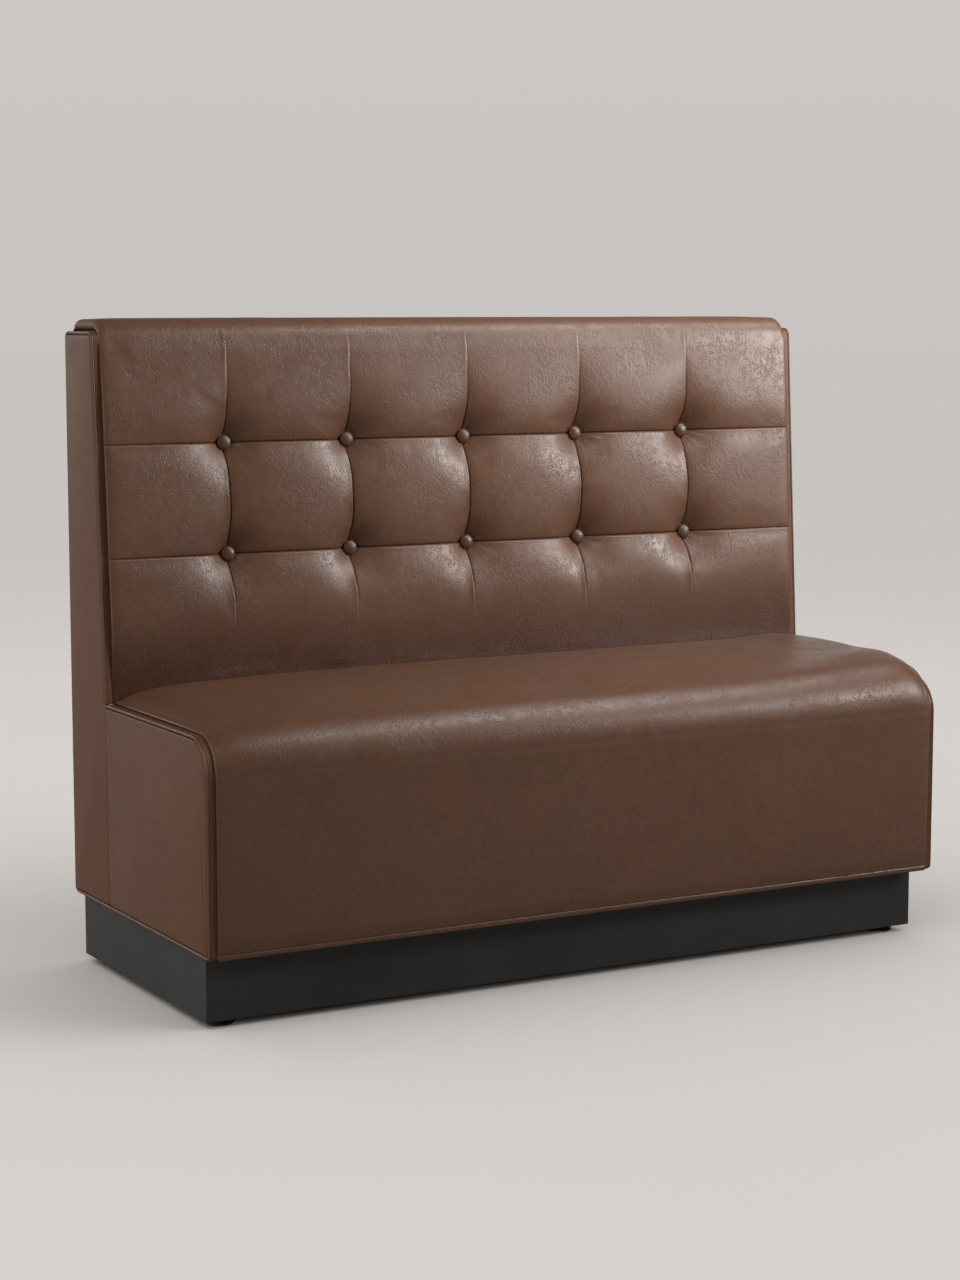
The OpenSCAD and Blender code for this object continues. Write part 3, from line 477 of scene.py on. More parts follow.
def start_block(name, low, high):
    """A block between two corners, to be shaped into a piece."""
    clear_selection()
    low, high = Vector(low), Vector(high)
    bpy.ops.mesh.primitive_cube_add(size=1, location=(low + high) / 2)
    piece = bpy.context.object
    piece.name = piece.data.name = name
    piece.scale = high - low
    bpy.ops.object.transform_apply(location=True, rotation=True, scale=True)
    return piece


def pick(piece, kind, test):
    """Selects the corners, edges or faces that pass the test, with the piece in edit mode."""
    if piece.mode != "EDIT":
        take(piece)
        bpy.ops.object.mode_set(mode="EDIT")
    bpy.context.tool_settings.mesh_select_mode = tuple(kind == k for k in ("VERT", "EDGE", "FACE"))
    bpy.ops.mesh.select_all(action="DESELECT")
    mesh = bmesh.from_edit_mesh(piece.data)
    found = {"VERT": mesh.verts, "EDGE": mesh.edges, "FACE": mesh.faces}[kind]
    for part in [p for p in found if test(p)]:
        part.select_set(True)
    mesh.select_flush(True)
    bmesh.update_edit_mesh(piece.data)


def round_edge(piece, y, z, radius, steps):
    """Rounds the edge that runs along X at a depth and a height."""
    gap = 0.0006

    def found(edge):
        a, b = (v.co for v in edge.verts)
        along = abs(a.x - b.x) > 0.002 and abs(a.y - b.y) < gap and abs(a.z - b.z) < gap
        return along and abs(a.y - y) < gap and abs(a.z - z) < gap

    pick(piece, "EDGE", found)
    bpy.ops.mesh.bevel(offset=radius, segments=steps, affect="EDGES")


def extrude(*move):
    bpy.ops.mesh.extrude_region_move(TRANSFORM_OT_translate={"value": move})


def leave_edit():
    bpy.ops.object.mode_set(mode="OBJECT")


def smooth(piece, degrees=32):
    take(piece)
    bpy.ops.object.shade_smooth_by_angle(angle=math.radians(degrees))
    clear_selection()


def recalculate(piece):
    """Merges doubled corners and turns all the faces outwards."""
    take(piece)
    bpy.ops.object.mode_set(mode="EDIT")
    bpy.ops.mesh.select_all(action="SELECT")
    bpy.ops.mesh.remove_doubles(threshold=0.00001)
    bpy.ops.mesh.normals_make_consistent(inside=False)
    leave_edit()


def place_piece(piece, material, *stands_for, slot="brown_leather"):
    piece.data.materials.clear()
    piece.data.materials.append(material)
    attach(piece, "bench")
    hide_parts(*stands_for)


# End panels and welts

FACE_X = 0.6790
FACE_IN = 0.0068
EDGE_IN = 0.0010
TURNED_W = 0.012
TURNED_T = 0.0009
PIPING_R = 0.0024
LOW_EDGE_R = 0.008
TOP_EDGE_R = 0.015
REAR_EDGE_R = 0.012


def seat_board(name, x_ends, inside, rear, low_z, rear_r):
    """A board with the seat end's outline, set in from its edge."""
    front, top = FRONT_Y + inside, SEAT_EDGE_Z - inside
    piece = start_block(name, (x_ends[0], front, low_z), (x_ends[1], rear, top))
    round_edge(piece, front, top, SEAT_FRONT_R - inside, 20)
    round_edge(piece, front, low_z, max(LOW_EDGE_R - inside, 0.003), 5)
    if rear_r:
        round_edge(piece, rear, low_z, rear_r, 7)
    leave_edit()
    return piece


def back_board(name, x_ends, inside, front, rear, low_z, rear_r):
    """A board with the back end's outline, whose slope starts above the seat."""
    top = END_TOP_Z - inside
    piece = start_block(name, (x_ends[0], front, low_z), (x_ends[1], rear, top))
    step = plane_y(SEAT_EDGE_Z) + inside / math.cos(TILT) - front
    slope_z = SEAT_EDGE_Z + 0.0005
    for z in (SEAT_EDGE_Z - 0.0055, slope_z):
        pick(piece, "VERT", lambda v: True)
        bpy.ops.mesh.bisect(plane_co=(0, 0, z), plane_no=(0, 0, 1), threshold=1e-6)
    pick(piece, "VERT", lambda v: v.co.y < front + 0.0001 and abs(v.co.z - slope_z) < 0.0001)
    bpy.ops.transform.translate(value=(0, step, 0))
    front_top = plane_y(top) + inside / math.cos(TILT)
    pick(piece, "VERT", lambda v: v.co.y < front + 0.0001 and v.co.z > top - 0.0001)
    bpy.ops.transform.translate(value=(0, front_top - front, 0))
    round_edge(piece, front_top, top, TOP_EDGE_R - inside, 10)
    round_edge(piece, rear, top, rear_r, 8)
    round_edge(piece, rear, low_z, rear_r, 8)
    leave_edit()
    return piece


def round_face(piece, side):
    """Rolls the border of the panel's face over and lets the middle swell a little."""
    def outer(face):
        return face.normal.x * side > 0.999 and face.calc_center_median().x * side > FACE_X - 0.0001

    def rim(edge):
        return len(edge.link_faces) == 2 and sum(outer(f) for f in edge.link_faces) == 1

    pick(piece, "EDGE", rim)
    bpy.ops.mesh.bevel(offset=0.0017, segments=4, affect="EDGES")
    pick(piece, "FACE", outer)
    bpy.ops.mesh.remove_doubles(threshold=0.0002)
    pick(piece, "FACE", outer)
    bpy.ops.mesh.inset(thickness=0.0026, depth=0.0004)
    leave_edit()


def hollow_for_ply(piece, side):
    """The pocket in the panel's inner side that the end ply fills."""
    pick(piece, "FACE", lambda f: f.normal.x * side < -0.9)
    bpy.ops.mesh.inset(thickness=0.0014, depth=0)
    extrude(side * 0.0098, 0, 0)
    leave_edit()


def turned_edge(name, path, side):
    """The leather that is turned in over the ply's edge: a cord pressed flat."""
    x = side * (PLY_IN_X - TURNED_T / 2)
    piece = cord_along(name, path, x, TURNED_W / 2)
    pick(piece, "VERT", lambda v: True)
    bpy.ops.transform.resize(value=(TURNED_T / TURNED_W, 1, 1), center_override=(x, 0, 0))
    leave_edit()
    return piece


def sew_panel(name, side, board, edge, face, path, stands_for):
    """Joins a panel's edge strip, its raised face and the edge that is turned in."""
    edge_x = sorted((side * PLY_IN_X, side * SHOULDER_X))
    face_x = sorted((side * (SHOULDER_X - 0.0004), side * FACE_X))
    ledge = board(name, edge_x, EDGE_IN, *edge)
    raised = board(name + "_face", face_x, FACE_IN, *face)
    turned = turned_edge(name + "_turned", path, side)
    hollow_for_ply(ledge, side)
    round_face(raised, side)
    take(ledge, raised, turned)
    bpy.ops.object.join()
    ledge.name = ledge.data.name = name
    recalculate(ledge)
    smooth(ledge)
    place_piece(ledge, panel_leather, stands_for)


def seat_end_panel(side, word):
    rear, inner = SEAM_Y - 0.0004, EDGE_IN + TURNED_W / 2
    path = [(SEAM_Y + 0.006, SEAT_EDGE_Z - inner)] + seat_path(inner, SEAM_Y)
    edge, face = (rear, BODY_Z - 0.0006, 0), (rear, BODY_Z + FACE_IN, 0.010)
    sew_panel(f"seat_end_panel_{word}", side, seat_board, edge, face, path, f"seat_end_cover_{word}")


def back_end_panel(side, word):
    ends = SEAM_Y + 0.0004, REAR_Y - 0.0004
    path = back_path(EDGE_IN + TURNED_W / 2)
    edge, face = (*ends, BODY_Z - 0.0006, 0.011), (*ends, BODY_Z + FACE_IN, 0.0065)
    sew_panel(f"back_end_panel_{word}", side, back_board, edge, face, path, f"back_end_cover_{word}")


def bow(y, z, radius, start, end, steps):
    """Points of an arc in the YZ plane, angles in degrees."""
    return [
        (y + radius * math.cos(math.radians(a)), z + radius * math.sin(math.radians(a)))
        for a in np.linspace(start, end, steps + 1)
    ]


def cord_along(name, path, x, radius):
    """A round cord through points of the YZ plane."""
    data = bpy.data.curves.new(name, "CURVE")
    data.dimensions = "3D"
    spline = data.splines.new("POLY")
    spline.points.add(len(path) - 1)
    for point, (y, z) in zip(spline.points, path):
        point.co = (x, y, z, 1)
    data.bevel_depth = radius
    data.bevel_resolution = 4
    data.use_fill_caps = True
    take(new_object(name, data))
    bpy.ops.object.convert(target="MESH")
    piece = bpy.context.object
    recalculate(piece)
    smooth(piece, 60)
    return piece


def seat_path(inner, rear):
    """The seat end's outline, set in from its edge, from the back down the front to the rear."""
    bend_y, bend_z = FRONT_Y + SEAT_FRONT_R, SEAT_EDGE_Z - SEAT_FRONT_R
    low_y, low_z = FRONT_Y + LOW_EDGE_R, BODY_Z + LOW_EDGE_R
    path = [(y, SEAT_EDGE_Z - inner) for y in np.linspace(SEAM_Y - 0.0005, bend_y + 0.002, 60)]
    path += bow(bend_y, bend_z, SEAT_FRONT_R - inner, 90, 180, 24)
    path += [(FRONT_Y + inner, z) for z in np.linspace(bend_z - 0.002, low_z + 0.0005, 50)]
    path += bow(low_y, low_z, max(LOW_EDGE_R - inner, 0.0005), 180, 270, 6)
    path += [(y, BODY_Z + inner) for y in np.linspace(low_y + 0.001, rear, 90)]
    return path


def back_path(inner):
    """The back end's outline, set in from its edge, from the seat over the top to the rear."""
    bend_z = END_TOP_Z - TOP_EDGE_R
    bend_y = plane_y(bend_z) + TOP_EDGE_R / math.cos(TILT)
    front = bow(bend_y, bend_z, TOP_EDGE_R - inner, 180 - math.degrees(TILT), 90, 10)
    start = np.array([plane_y(SEAT_EDGE_Z) + inner / math.cos(TILT), SEAT_EDGE_Z + 0.0005])
    path = [tuple(start + (np.array(front[0]) - start) * t) for t in np.linspace(0, 0.998, 110)]
    path += front
    path += [(y, END_TOP_Z - inner) for y in np.linspace(bend_y + 0.002, REAR_Y - 0.014, 20)]
    path += bow(REAR_Y - REAR_EDGE_R, END_TOP_Z - REAR_EDGE_R, REAR_EDGE_R - inner, 90, 0, 8)
    return path


def lay_piping(side, word):
    """The welts' cords, round the outline of the seat's end and of the back's."""
    seat = seat_path(WELT_R, REAR_Y - 0.013)
    seat += bow(REAR_Y - REAR_EDGE_R, BODY_Z + REAR_EDGE_R, REAR_EDGE_R - WELT_R, 270, 360, 6)
    for welt, path in ((f"seat_welt_{word}", seat), (f"back_welt_{word}", back_path(WELT_R))):
        piece = cord_along(welt + "_piping", path, side * (SHOULDER_X + PIPING_R), PIPING_R)
        place_piece(piece, piping_leather, welt, slot="welt_leather")


# Cushions

RIGHT_SHOULDER = 0.034
SETTLE_SINK = 0.003
SETTLE_CAP = 0.006
CLOTH = {
    "quality": 6, "mass": 0.4, "tension_stiffness": 12, "compression_stiffness": 12,
    "shear_stiffness": 6, "bending_stiffness": 0.6, "use_pressure": True,
    "uniform_pressure_force": 4, "vertex_group_mass": "sewn", "shrink_min": -0.012,
}


def spread(x):
    """How much of the crown is left at a place along the bench: the right end is filled fuller."""
    inside = CUSHION_HALF - np.abs(x)
    left = 1 - 0.55 * np.exp(-inside / 0.025) - 0.45 * np.exp(-inside / 0.150)
    share = np.clip(inside / RIGHT_SHOULDER, 0, 1)
    right = (1 - (1 - share) ** 2.3) ** (1 / 2.3) + 0.16 * np.exp(-((inside - 0.055) / 0.060) ** 2) * share
    return left + (right - left) * ramp(-0.10, 0.35, x)


def edge_roll(x, start, out, thick):
    """Rolls a cushion's end under: where its corners go along X, and how far they drop."""
    share = np.clip((np.abs(x) - start) / (CUSHION_HALF - start), 0, 1)
    turn = np.radians(90 - 160 * share)
    return np.where(share > 0, np.sign(x) * (start + out * np.cos(turn)), x), thick * (1 - np.sin(turn))


def eased(stations, values, at, blur):
    """Values between stations, rounded over a length."""
    fine = np.linspace(stations[0] - 3 * blur, stations[-1] + 3 * blur, 2400)
    raw = np.interp(fine, stations, values)
    step = fine[1] - fine[0]
    taps = np.arange(-int(3 * blur / step), int(3 * blur / step) + 1)
    weights = np.exp(-0.5 * (taps * step / blur) ** 2)
    padded = np.pad(raw, len(taps) // 2, mode="edge")
    soft = np.convolve(padded, weights / weights.sum(), "valid")
    return np.interp(at, fine, soft)


class Section:
    """A cushion's cross-section: places, outward directions and the length along it."""

    def __init__(self):
        self.rows = []

    def line(self, start, end, out):
        self.rows += [(*start, *out), (*end, *out)]

    def arc(self, centre, radius, start, end, steps):
        for a in np.radians(np.linspace(start, end, steps + 1)):
            ny, nz = math.cos(a), math.sin(a)
            self.rows.append((centre[0] + radius * ny, centre[1] + radius * nz, ny, nz))

    def close(self):
        rows = [self.rows[0]]
        for row in self.rows[1:]:
            if math.dist(row[:2], rows[-1][:2]) > 1e-6:
                rows.append(row)
        self.rows = np.array(rows)
        steps = np.hypot(*np.diff(self.rows[:, :2], axis=0).T)
        self.length = np.concatenate([[0], np.cumsum(steps)])
        self.total = self.length[-1]

    def at(self, s):
        return [np.interp(s, self.length, self.rows[:, i]) for i in range(4)]


def stations(total, fine, coarse_step, fine_step, near):
    """Stations from 0 to total, closer together near the fine places."""
    out = [0.0]
    while out[-1] < total:
        here = out[-1]
        gap = min([abs(here - f) for f in fine] + [1.0])
        step = fine_step + (coarse_step - fine_step) * float(ramp(near, near * 3.2, gap))
        ahead = [f - here for f in fine if f - here > 1e-9]
        if ahead and min(ahead) < step * 1.45:
            step = min(ahead) if min(ahead) < step else min(ahead) / 2
        out.append(here + step)
    out = [o for o in out if o < total - coarse_step * 0.3] + [total]
    return np.array(out)


def corners_of(piece):
    places = np.zeros(len(piece.data.vertices) * 3)
    piece.data.vertices.foreach_get("co", places)
    return places.reshape(-1, 3)


def sheet_grid(name, xs, ss):
    """A flat grid with a corner for each station, and the order in which its corners come."""
    clear_selection()
    columns, rows = len(xs), len(ss)
    bpy.ops.mesh.primitive_grid_add(x_subdivisions=columns - 1, y_subdivisions=rows - 1, size=2)
    piece = bpy.context.object
    piece.name = piece.data.name = name
    flat = corners_of(piece)
    ix = np.rint((flat[:, 0] + 1) / 2 * (columns - 1)).astype(int)
    iy = np.rint((flat[:, 1] + 1) / 2 * (rows - 1)).astype(int)
    return piece, ix, iy


def put_corners(piece, points):
    piece.data.vertices.foreach_set("co", np.ascontiguousarray(points, dtype=np.float64).ravel())
    piece.data.update()


def settle(name, place, total, held, size):
    """Lays a sheet over the pad, holds it where it is sewn or buttoned, blows it up for twenty
    frames and gives back how far each of its corners has moved, on an even grid."""
    xs = np.linspace(-CUSHION_HALF, CUSHION_HALF, int(2 * CUSHION_HALF / size) + 1)
    ss = np.linspace(0, total, int(total / size) + 1)
    piece, ix, iy = sheet_grid(name, xs, ss)
    start = place(xs[ix], ss[iy], SETTLE_SINK)
    put_corners(piece, start)
    group = piece.vertex_groups.new(name="sewn")
    for index, weight in enumerate(held(xs[ix], ss[iy])):
        if weight > 0:
            group.add([index], float(weight), "REPLACE")
    cloth = piece.modifiers.new("Cloth", "CLOTH")
    for key, value in CLOTH.items():
        setattr(cloth.settings, key, value)
    cloth.settings.effector_weights.gravity = 0
    cloth.collision_settings.use_collision = False
    cloth.point_cache.frame_start = 1
    cloth.point_cache.frame_end = 20
    for number in range(1, 21):
        bpy.context.scene.frame_set(number)
    take(piece)
    bpy.ops.object.modifier_apply(modifier="Cloth")
    bpy.context.scene.frame_set(1)
    move = corners_of(piece) - start
    far = np.linalg.norm(move, axis=1, keepdims=True)
    move *= np.minimum(1, SETTLE_CAP / np.maximum(far, 1e-9))
    moved = np.zeros((len(ss), len(xs), 3))
    moved[iy, ix] = move
    bpy.data.objects.remove(piece)
    return xs, ss, moved


def moved_at(settled, x, s):
    """The settled sheet's move at places between its corners."""
    xs, ss, moved = settled
    fx = np.clip((x - xs[0]) / (xs[1] - xs[0]), 0, len(xs) - 1.0001)
    fs = np.clip((s - ss[0]) / (ss[1] - ss[0]), 0, len(ss) - 1.0001)
    i, j = fx.astype(int), fs.astype(int)
    a, b = (fx - i)[:, None], (fs - j)[:, None]
    a, b = a * a * (3 - 2 * a), b * b * (3 - 2 * b)
    low = moved[j, i] * (1 - a) + moved[j, i + 1] * a
    high = moved[j + 1, i] * (1 - a) + moved[j + 1, i + 1] * a
    return low * (1 - b) + high * b


def push(points, ny, nz, out):
    points[:, 1] += ny * out
    points[:, 2] += nz * out


def push_settled(points, ny, nz, settled, x, s, free, share):
    """Moves a pad's points out as the settled sheet moved, where they are free to."""
    move = moved_at(settled, x, s)
    out = move[:, 1] * ny + move[:, 2] * nz - SETTLE_SINK
    push(points, ny, nz, np.clip(out, -0.002, 0.004) * free * share)


def close_pad(piece, ix, iy, xs, ss, inner):
    """Closes a pad behind its leather: walls from the border to the inner faces, and those."""
    mesh = bmesh.new()
    mesh.from_mesh(piece.data)
    corners = list(mesh.verts)
    index = np.zeros((len(ss), len(xs)), int)
    index[iy, ix] = np.arange(len(ix))
    last_row, last_col = len(ss) - 1, len(xs) - 1
    ring = [(0, i) for i in range(last_col + 1)] + [(j, last_col) for j in range(1, last_row + 1)]
    ring += [(last_row, i) for i in range(last_col - 1, -1, -1)]
    ring += [(j, 0) for j in range(last_row - 1, 0, -1)]
    behind = {(j, i): mesh.verts.new((xs[i], *inner(ss[j]))) for j, i in ring}
    for a, b in zip(ring, ring[1:] + ring[:1]):
        mesh.faces.new((corners[index[b]], corners[index[a]], behind[a], behind[b]))
    for j in range(last_row):
        face = [behind[j, 0], behind[j + 1, 0]]
        if j + 1 == last_row:
            face += [behind[last_row, i] for i in range(1, last_col)]
        face += [behind[j + 1, last_col], behind[j, last_col]]
        if j == 0:
            face += [behind[0, i] for i in range(last_col - 1, 0, -1)]
        mesh.faces.new(face)
    bmesh.ops.recalc_face_normals(mesh, faces=mesh.faces)
    mesh.to_mesh(piece.data)
    mesh.free()
    piece.data.update()


def ripple(x, s, scale, seed):
    """A smooth, seeded unevenness, mostly between -1 and 1, made of a few waves."""
    rng = np.random.default_rng(seed)
    total = np.zeros_like(x)
    for _ in range(7):
        a, b = rng.normal(size=2) / scale
        total += np.sin(a * x + b * s + rng.uniform(0, 2 * math.pi))
    return total / 7 ** 0.5 / 1.6


# Seat cushion

SEAT_CROWN = 0.037
SEAT_ROLL = (0.6545, 0.0105)  # where its ends start to roll under, and how far out they go
SEAT_SHARE = 0.25  # of the settled sheet's move
SEAT_RISE = (  # the run from the rear, and the share of the crown there
    (0, 0.86), (0.073, 0.86), (0.085, 0.90), (0.16, 0.98), (0.22, 1.0), (0.28, 0.97),
    (0.34, 0.87), (0.385, 0.74), (0.42, 0.60), (0.44, 0.49), (0.46, 0.38), (0.485, 0.25),
    (0.51, 0.12), (0.56, 0.05), (0.6, 0.04), (0.72, 0.03), (0.78, 0.0), (0.8, 0.0),
)
BEND_Z = SEAT_EDGE_Z - SEAT_FRONT_R
HEM_Z = BODY_Z + 0.0075


def seat_section():
    section = Section()
    rear, base, corner = SEAM_Y - 0.0008, SEAT_EDGE_Z - 0.001, 0.0035
    under, lip = BODY_Z - 0.0015, 0.003
    section.line((rear, 0.3725), (rear, base - corner), (1, 0))
    section.arc((rear - corner, base - corner), corner, 0, 90, 6)
    section.line((rear - corner, base), (FRONT_Y + SEAT_FRONT_R, base), (0, 1))
    section.arc((FRONT_Y + SEAT_FRONT_R, BEND_Z), SEAT_FRONT_R - 0.001, 90, 180, 14)
    section.line((FRONT_Y, BEND_Z), (FRONT_Y, under + lip), (-1, 0))
    section.arc((FRONT_Y + lip, under + lip), lip, 180, 270, 4)
    section.line((FRONT_Y + lip, under), (FRONT_Y + 0.024, under), (0, -1))
    section.close()
    return section


seat_lie = seat_section()
HEM_RUN = seat_lie.total - 0.021 - math.pi / 2 * 0.003 - 0.006


def seat_lift(x, z, ny, nz, s):
    """The crown's rise and the front's belly at a place, as moves along Y and Z."""
    shape = eased(*np.array(SEAT_RISE).T, s, 0.008)
    shape = shape + 0.24 * ramp(0.30, 0.55, x) * np.exp(-((s - 0.40) / 0.055) ** 2)
    up = np.where(ny > 0.5, 1.0, np.where(nz > 0, nz, 0.0))
    forward = np.where((ny < 0) & (nz > -0.1), -ny, 0.0)
    lift_z = shape * up * SEAT_CROWN * spread(x)
    belly = 0.0022 * np.sin(np.clip((BEND_Z + 0.02 - z) / 0.29, 0, 1) * math.pi) ** 0.7
    lift_y = -(forward * shape * SEAT_CROWN + np.where(nz > -0.1, belly, 0) * (ny < -0.2)) * spread(x)
    return lift_y, lift_z


def seat_proud(z, ny, nz):
    """How far the leather stands in front of the ends' edge strips, even where it isn't crowned."""
    front = 0.0040 * ramp(0.0, 0.030, z - BODY_Z) * np.clip(-ny, 0, 1)
    return np.where(nz < -0.1, 0, front + 0.0020 * np.clip(nz, 0, 1) * np.where(ny > 0.3, 0.3, 1))


def seat_place(x, s, sink=0.0):
    y, z, ny, nz = seat_lie.at(s)
    lift_y, lift_z = seat_lift(x, z, ny, nz, s)
    proud = seat_proud(z, ny, nz)
    x, drop = edge_roll(x, *SEAT_ROLL, (proud + 0.0008) / 2)
    inward = sink - proud + drop * np.where((nz < -0.1) | (ny > 0.5), 0, 1)
    front = (ny < -0.9) & (z < BEND_Z)
    hem = 0.0012 * np.exp(-((z - HEM_Z) / 0.0011) ** 2) - 0.0004 * np.exp(-((z - HEM_Z + 0.003) / 0.002) ** 2)
    inward = inward + np.where(front, hem, 0)
    rear_follow = np.where(ny > 0.5, np.maximum(0, (z + lift_z - SEAT_EDGE_Z)) * BACK_SLOPE, 0)
    return np.stack([x, y + lift_y + rear_follow - ny * inward, z + lift_z - nz * inward], -1)


def seat_inner(s):
    """Where the pad's inner faces lie: on the deck, and before the front board."""
    box_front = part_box("seat_front_board")[0].y - 0.0004
    deck_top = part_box("seat_deck")[1].z + 0.0004
    turn = seat_lie.total * 0.56
    if s < turn:
        share = s / turn
        return SEAM_Y - 0.002 + (box_front - SEAM_Y + 0.002) * share, deck_top
    share = (s - turn) / (seat_lie.total - turn)
    return box_front, deck_top + (BODY_Z + 0.0004 - deck_top) * share


def make_seat_cushion():
    def held(x, s):
        border = (np.abs(x) > CUSHION_HALF - 0.004) | (s < 0.02) | (s > seat_lie.total - 0.04)
        return np.where(border, 1.0, 0.0)

    settled = settle("seat_leather", seat_place, seat_lie.total, held, 0.010)
    xs = stations(2 * CUSHION_HALF, [0, 2 * CUSHION_HALF], 0.0056, 0.0008, 0.014) - CUSHION_HALF
    ss = stations(seat_lie.total, [0.0, HEM_RUN, seat_lie.total], 0.0050, 0.0010, 0.004)
    piece, ix, iy = sheet_grid("seat_cushion", xs, ss)
    x, s = xs[ix], ss[iy]
    points = seat_place(x, s)
    _, _, ny, nz = seat_lie.at(s)
    free = ramp(0, 0.05, s) * ramp(0, 0.06, seat_lie.total - s) * ramp(0, 0.03, CUSHION_HALF - np.abs(x))
    push_settled(points, ny, nz, settled, x, s, free, SEAT_SHARE)
    edge = 1 - (np.abs(x) / CUSHION_HALF) ** 8
    uneven = 0.0007 * ripple(x, s, 0.06, 4) * edge * np.where(nz < -0.1, 0, 1) * ramp(0, 0.04, s)
    push(points, ny, nz, uneven)
    put_corners(piece, points)
    close_pad(piece, ix, iy, xs, ss, seat_inner)
    smooth(piece, 50)
    place_piece(piece, brown_leather, "seat_cover", "seat_foam", "seat_front_foam")


# Back cushion

ROLL_FRONT_R = 0.028
ROLL_REAR_R = 0.018
BACK_START_Z = 0.406
REAR_LAP_Z = 1.021
BOARD_BEHIND = 0.058  # from the sloping plane to the tufting board
BACK_ROLL = (0.6520, 0.0140)
BACK_SHARE = 0.2
PILLOW = 0.0095
LEAN_BACK = 0.007
VALLEY = 0.0090
VALLEY_REACH = 0.022
PIT = 0.0185
PIT_START = 0.015
PIT_REACH = 0.029
SIDE_PIT = 0.0045
SLIT = 0.00012  # between two of the back's panels, on each side of their seam


def back_section():
    section = Section()
    front_z = TOP_Z - ROLL_FRONT_R
    front_y = plane_y(front_z + ROLL_FRONT_R * math.sin(TILT)) + ROLL_FRONT_R * math.cos(TILT)
    rear_y, rear_z = REAR_Y - ROLL_REAR_R, TOP_Z - ROLL_REAR_R
    start = 180 - math.degrees(TILT)
    first = bow(front_y, front_z, ROLL_FRONT_R, start, start, 0)[0]
    section.line((plane_y(BACK_START_Z), BACK_START_Z), first, (-math.cos(TILT), math.sin(TILT)))
    section.arc((front_y, front_z), ROLL_FRONT_R, start, 90, 10)
    section.line((front_y, TOP_Z), (rear_y, TOP_Z), (0, 1))
    section.arc((rear_y, rear_z), ROLL_REAR_R, 90, 0, 8)
    section.line((REAR_Y, rear_z), (REAR_Y, REAR_LAP_Z), (1, 0))
    section.close()
    return section


def height_at(s):
    """The height of a place on the sloping face, from its run along the section."""
    return BACK_START_Z + s * math.cos(TILT)


back_lie = back_section()
FACE_RUN = math.dist((plane_y(BACK_START_Z), BACK_START_Z), back_lie.rows[1][:2])
LOW_RUN, HIGH_RUN = ((z - BACK_START_Z) / math.cos(TILT) for z in ROWS_Z)


def column_strength(z):
    low = 1 - ramp(0, ROW_GAP * 0.42, LOW_ROW_Z - z)
    high = 1 - ramp(0, ROW_GAP * 0.88, z - HIGH_ROW_Z)
    mid = 0.7 + 0.3 * np.abs(2 * (z - LOW_ROW_Z) / ROW_GAP - 1)
    return np.where(z < LOW_ROW_Z, low, np.where(z > HIGH_ROW_Z, high, mid))


def fold_strength(z):
    """The thin fold of a column runs on above its buttons and dies away below them."""
    low = 1 - ramp(0.015, 0.135, LOW_ROW_Z - z)
    high = 1 - 0.9 * ramp(0, 0.150, z - HIGH_ROW_Z) ** 0.7
    return np.where(z < LOW_ROW_Z, low, np.where(z > HIGH_ROW_Z, high, 1.0))


def row_strength(x):
    beyond = np.clip(np.abs(x) - 2 * BUTTON_PITCH, 0, 1)
    return 1 - 0.65 * ramp(0, 1, beyond / (CUSHION_HALF - 2 * BUTTON_PITCH))


def lapped(d, lip, dip, wide, far):
    """Leather lapped over a line: its near side stands proud, then drops to a crease."""
    proud = lip * np.exp(-(np.maximum(0, -d - wide) / far) ** 1.4)
    low = -dip * np.exp(-np.maximum(0, d) / far)
    crease = 0.0019 * np.exp(-(np.abs(d - 0.0003) / 0.0008) ** 1.5)
    return proud + (low - proud) * ramp(-wide, 0.0002, d) - crease


def nearest(values, at):
    """The signed distance to the nearest of some values, and which of them it is."""
    gaps = at[:, None] - np.array(values)[None, :]
    best = np.abs(gaps).argmin(1)
    return gaps[np.arange(len(at)), best], best


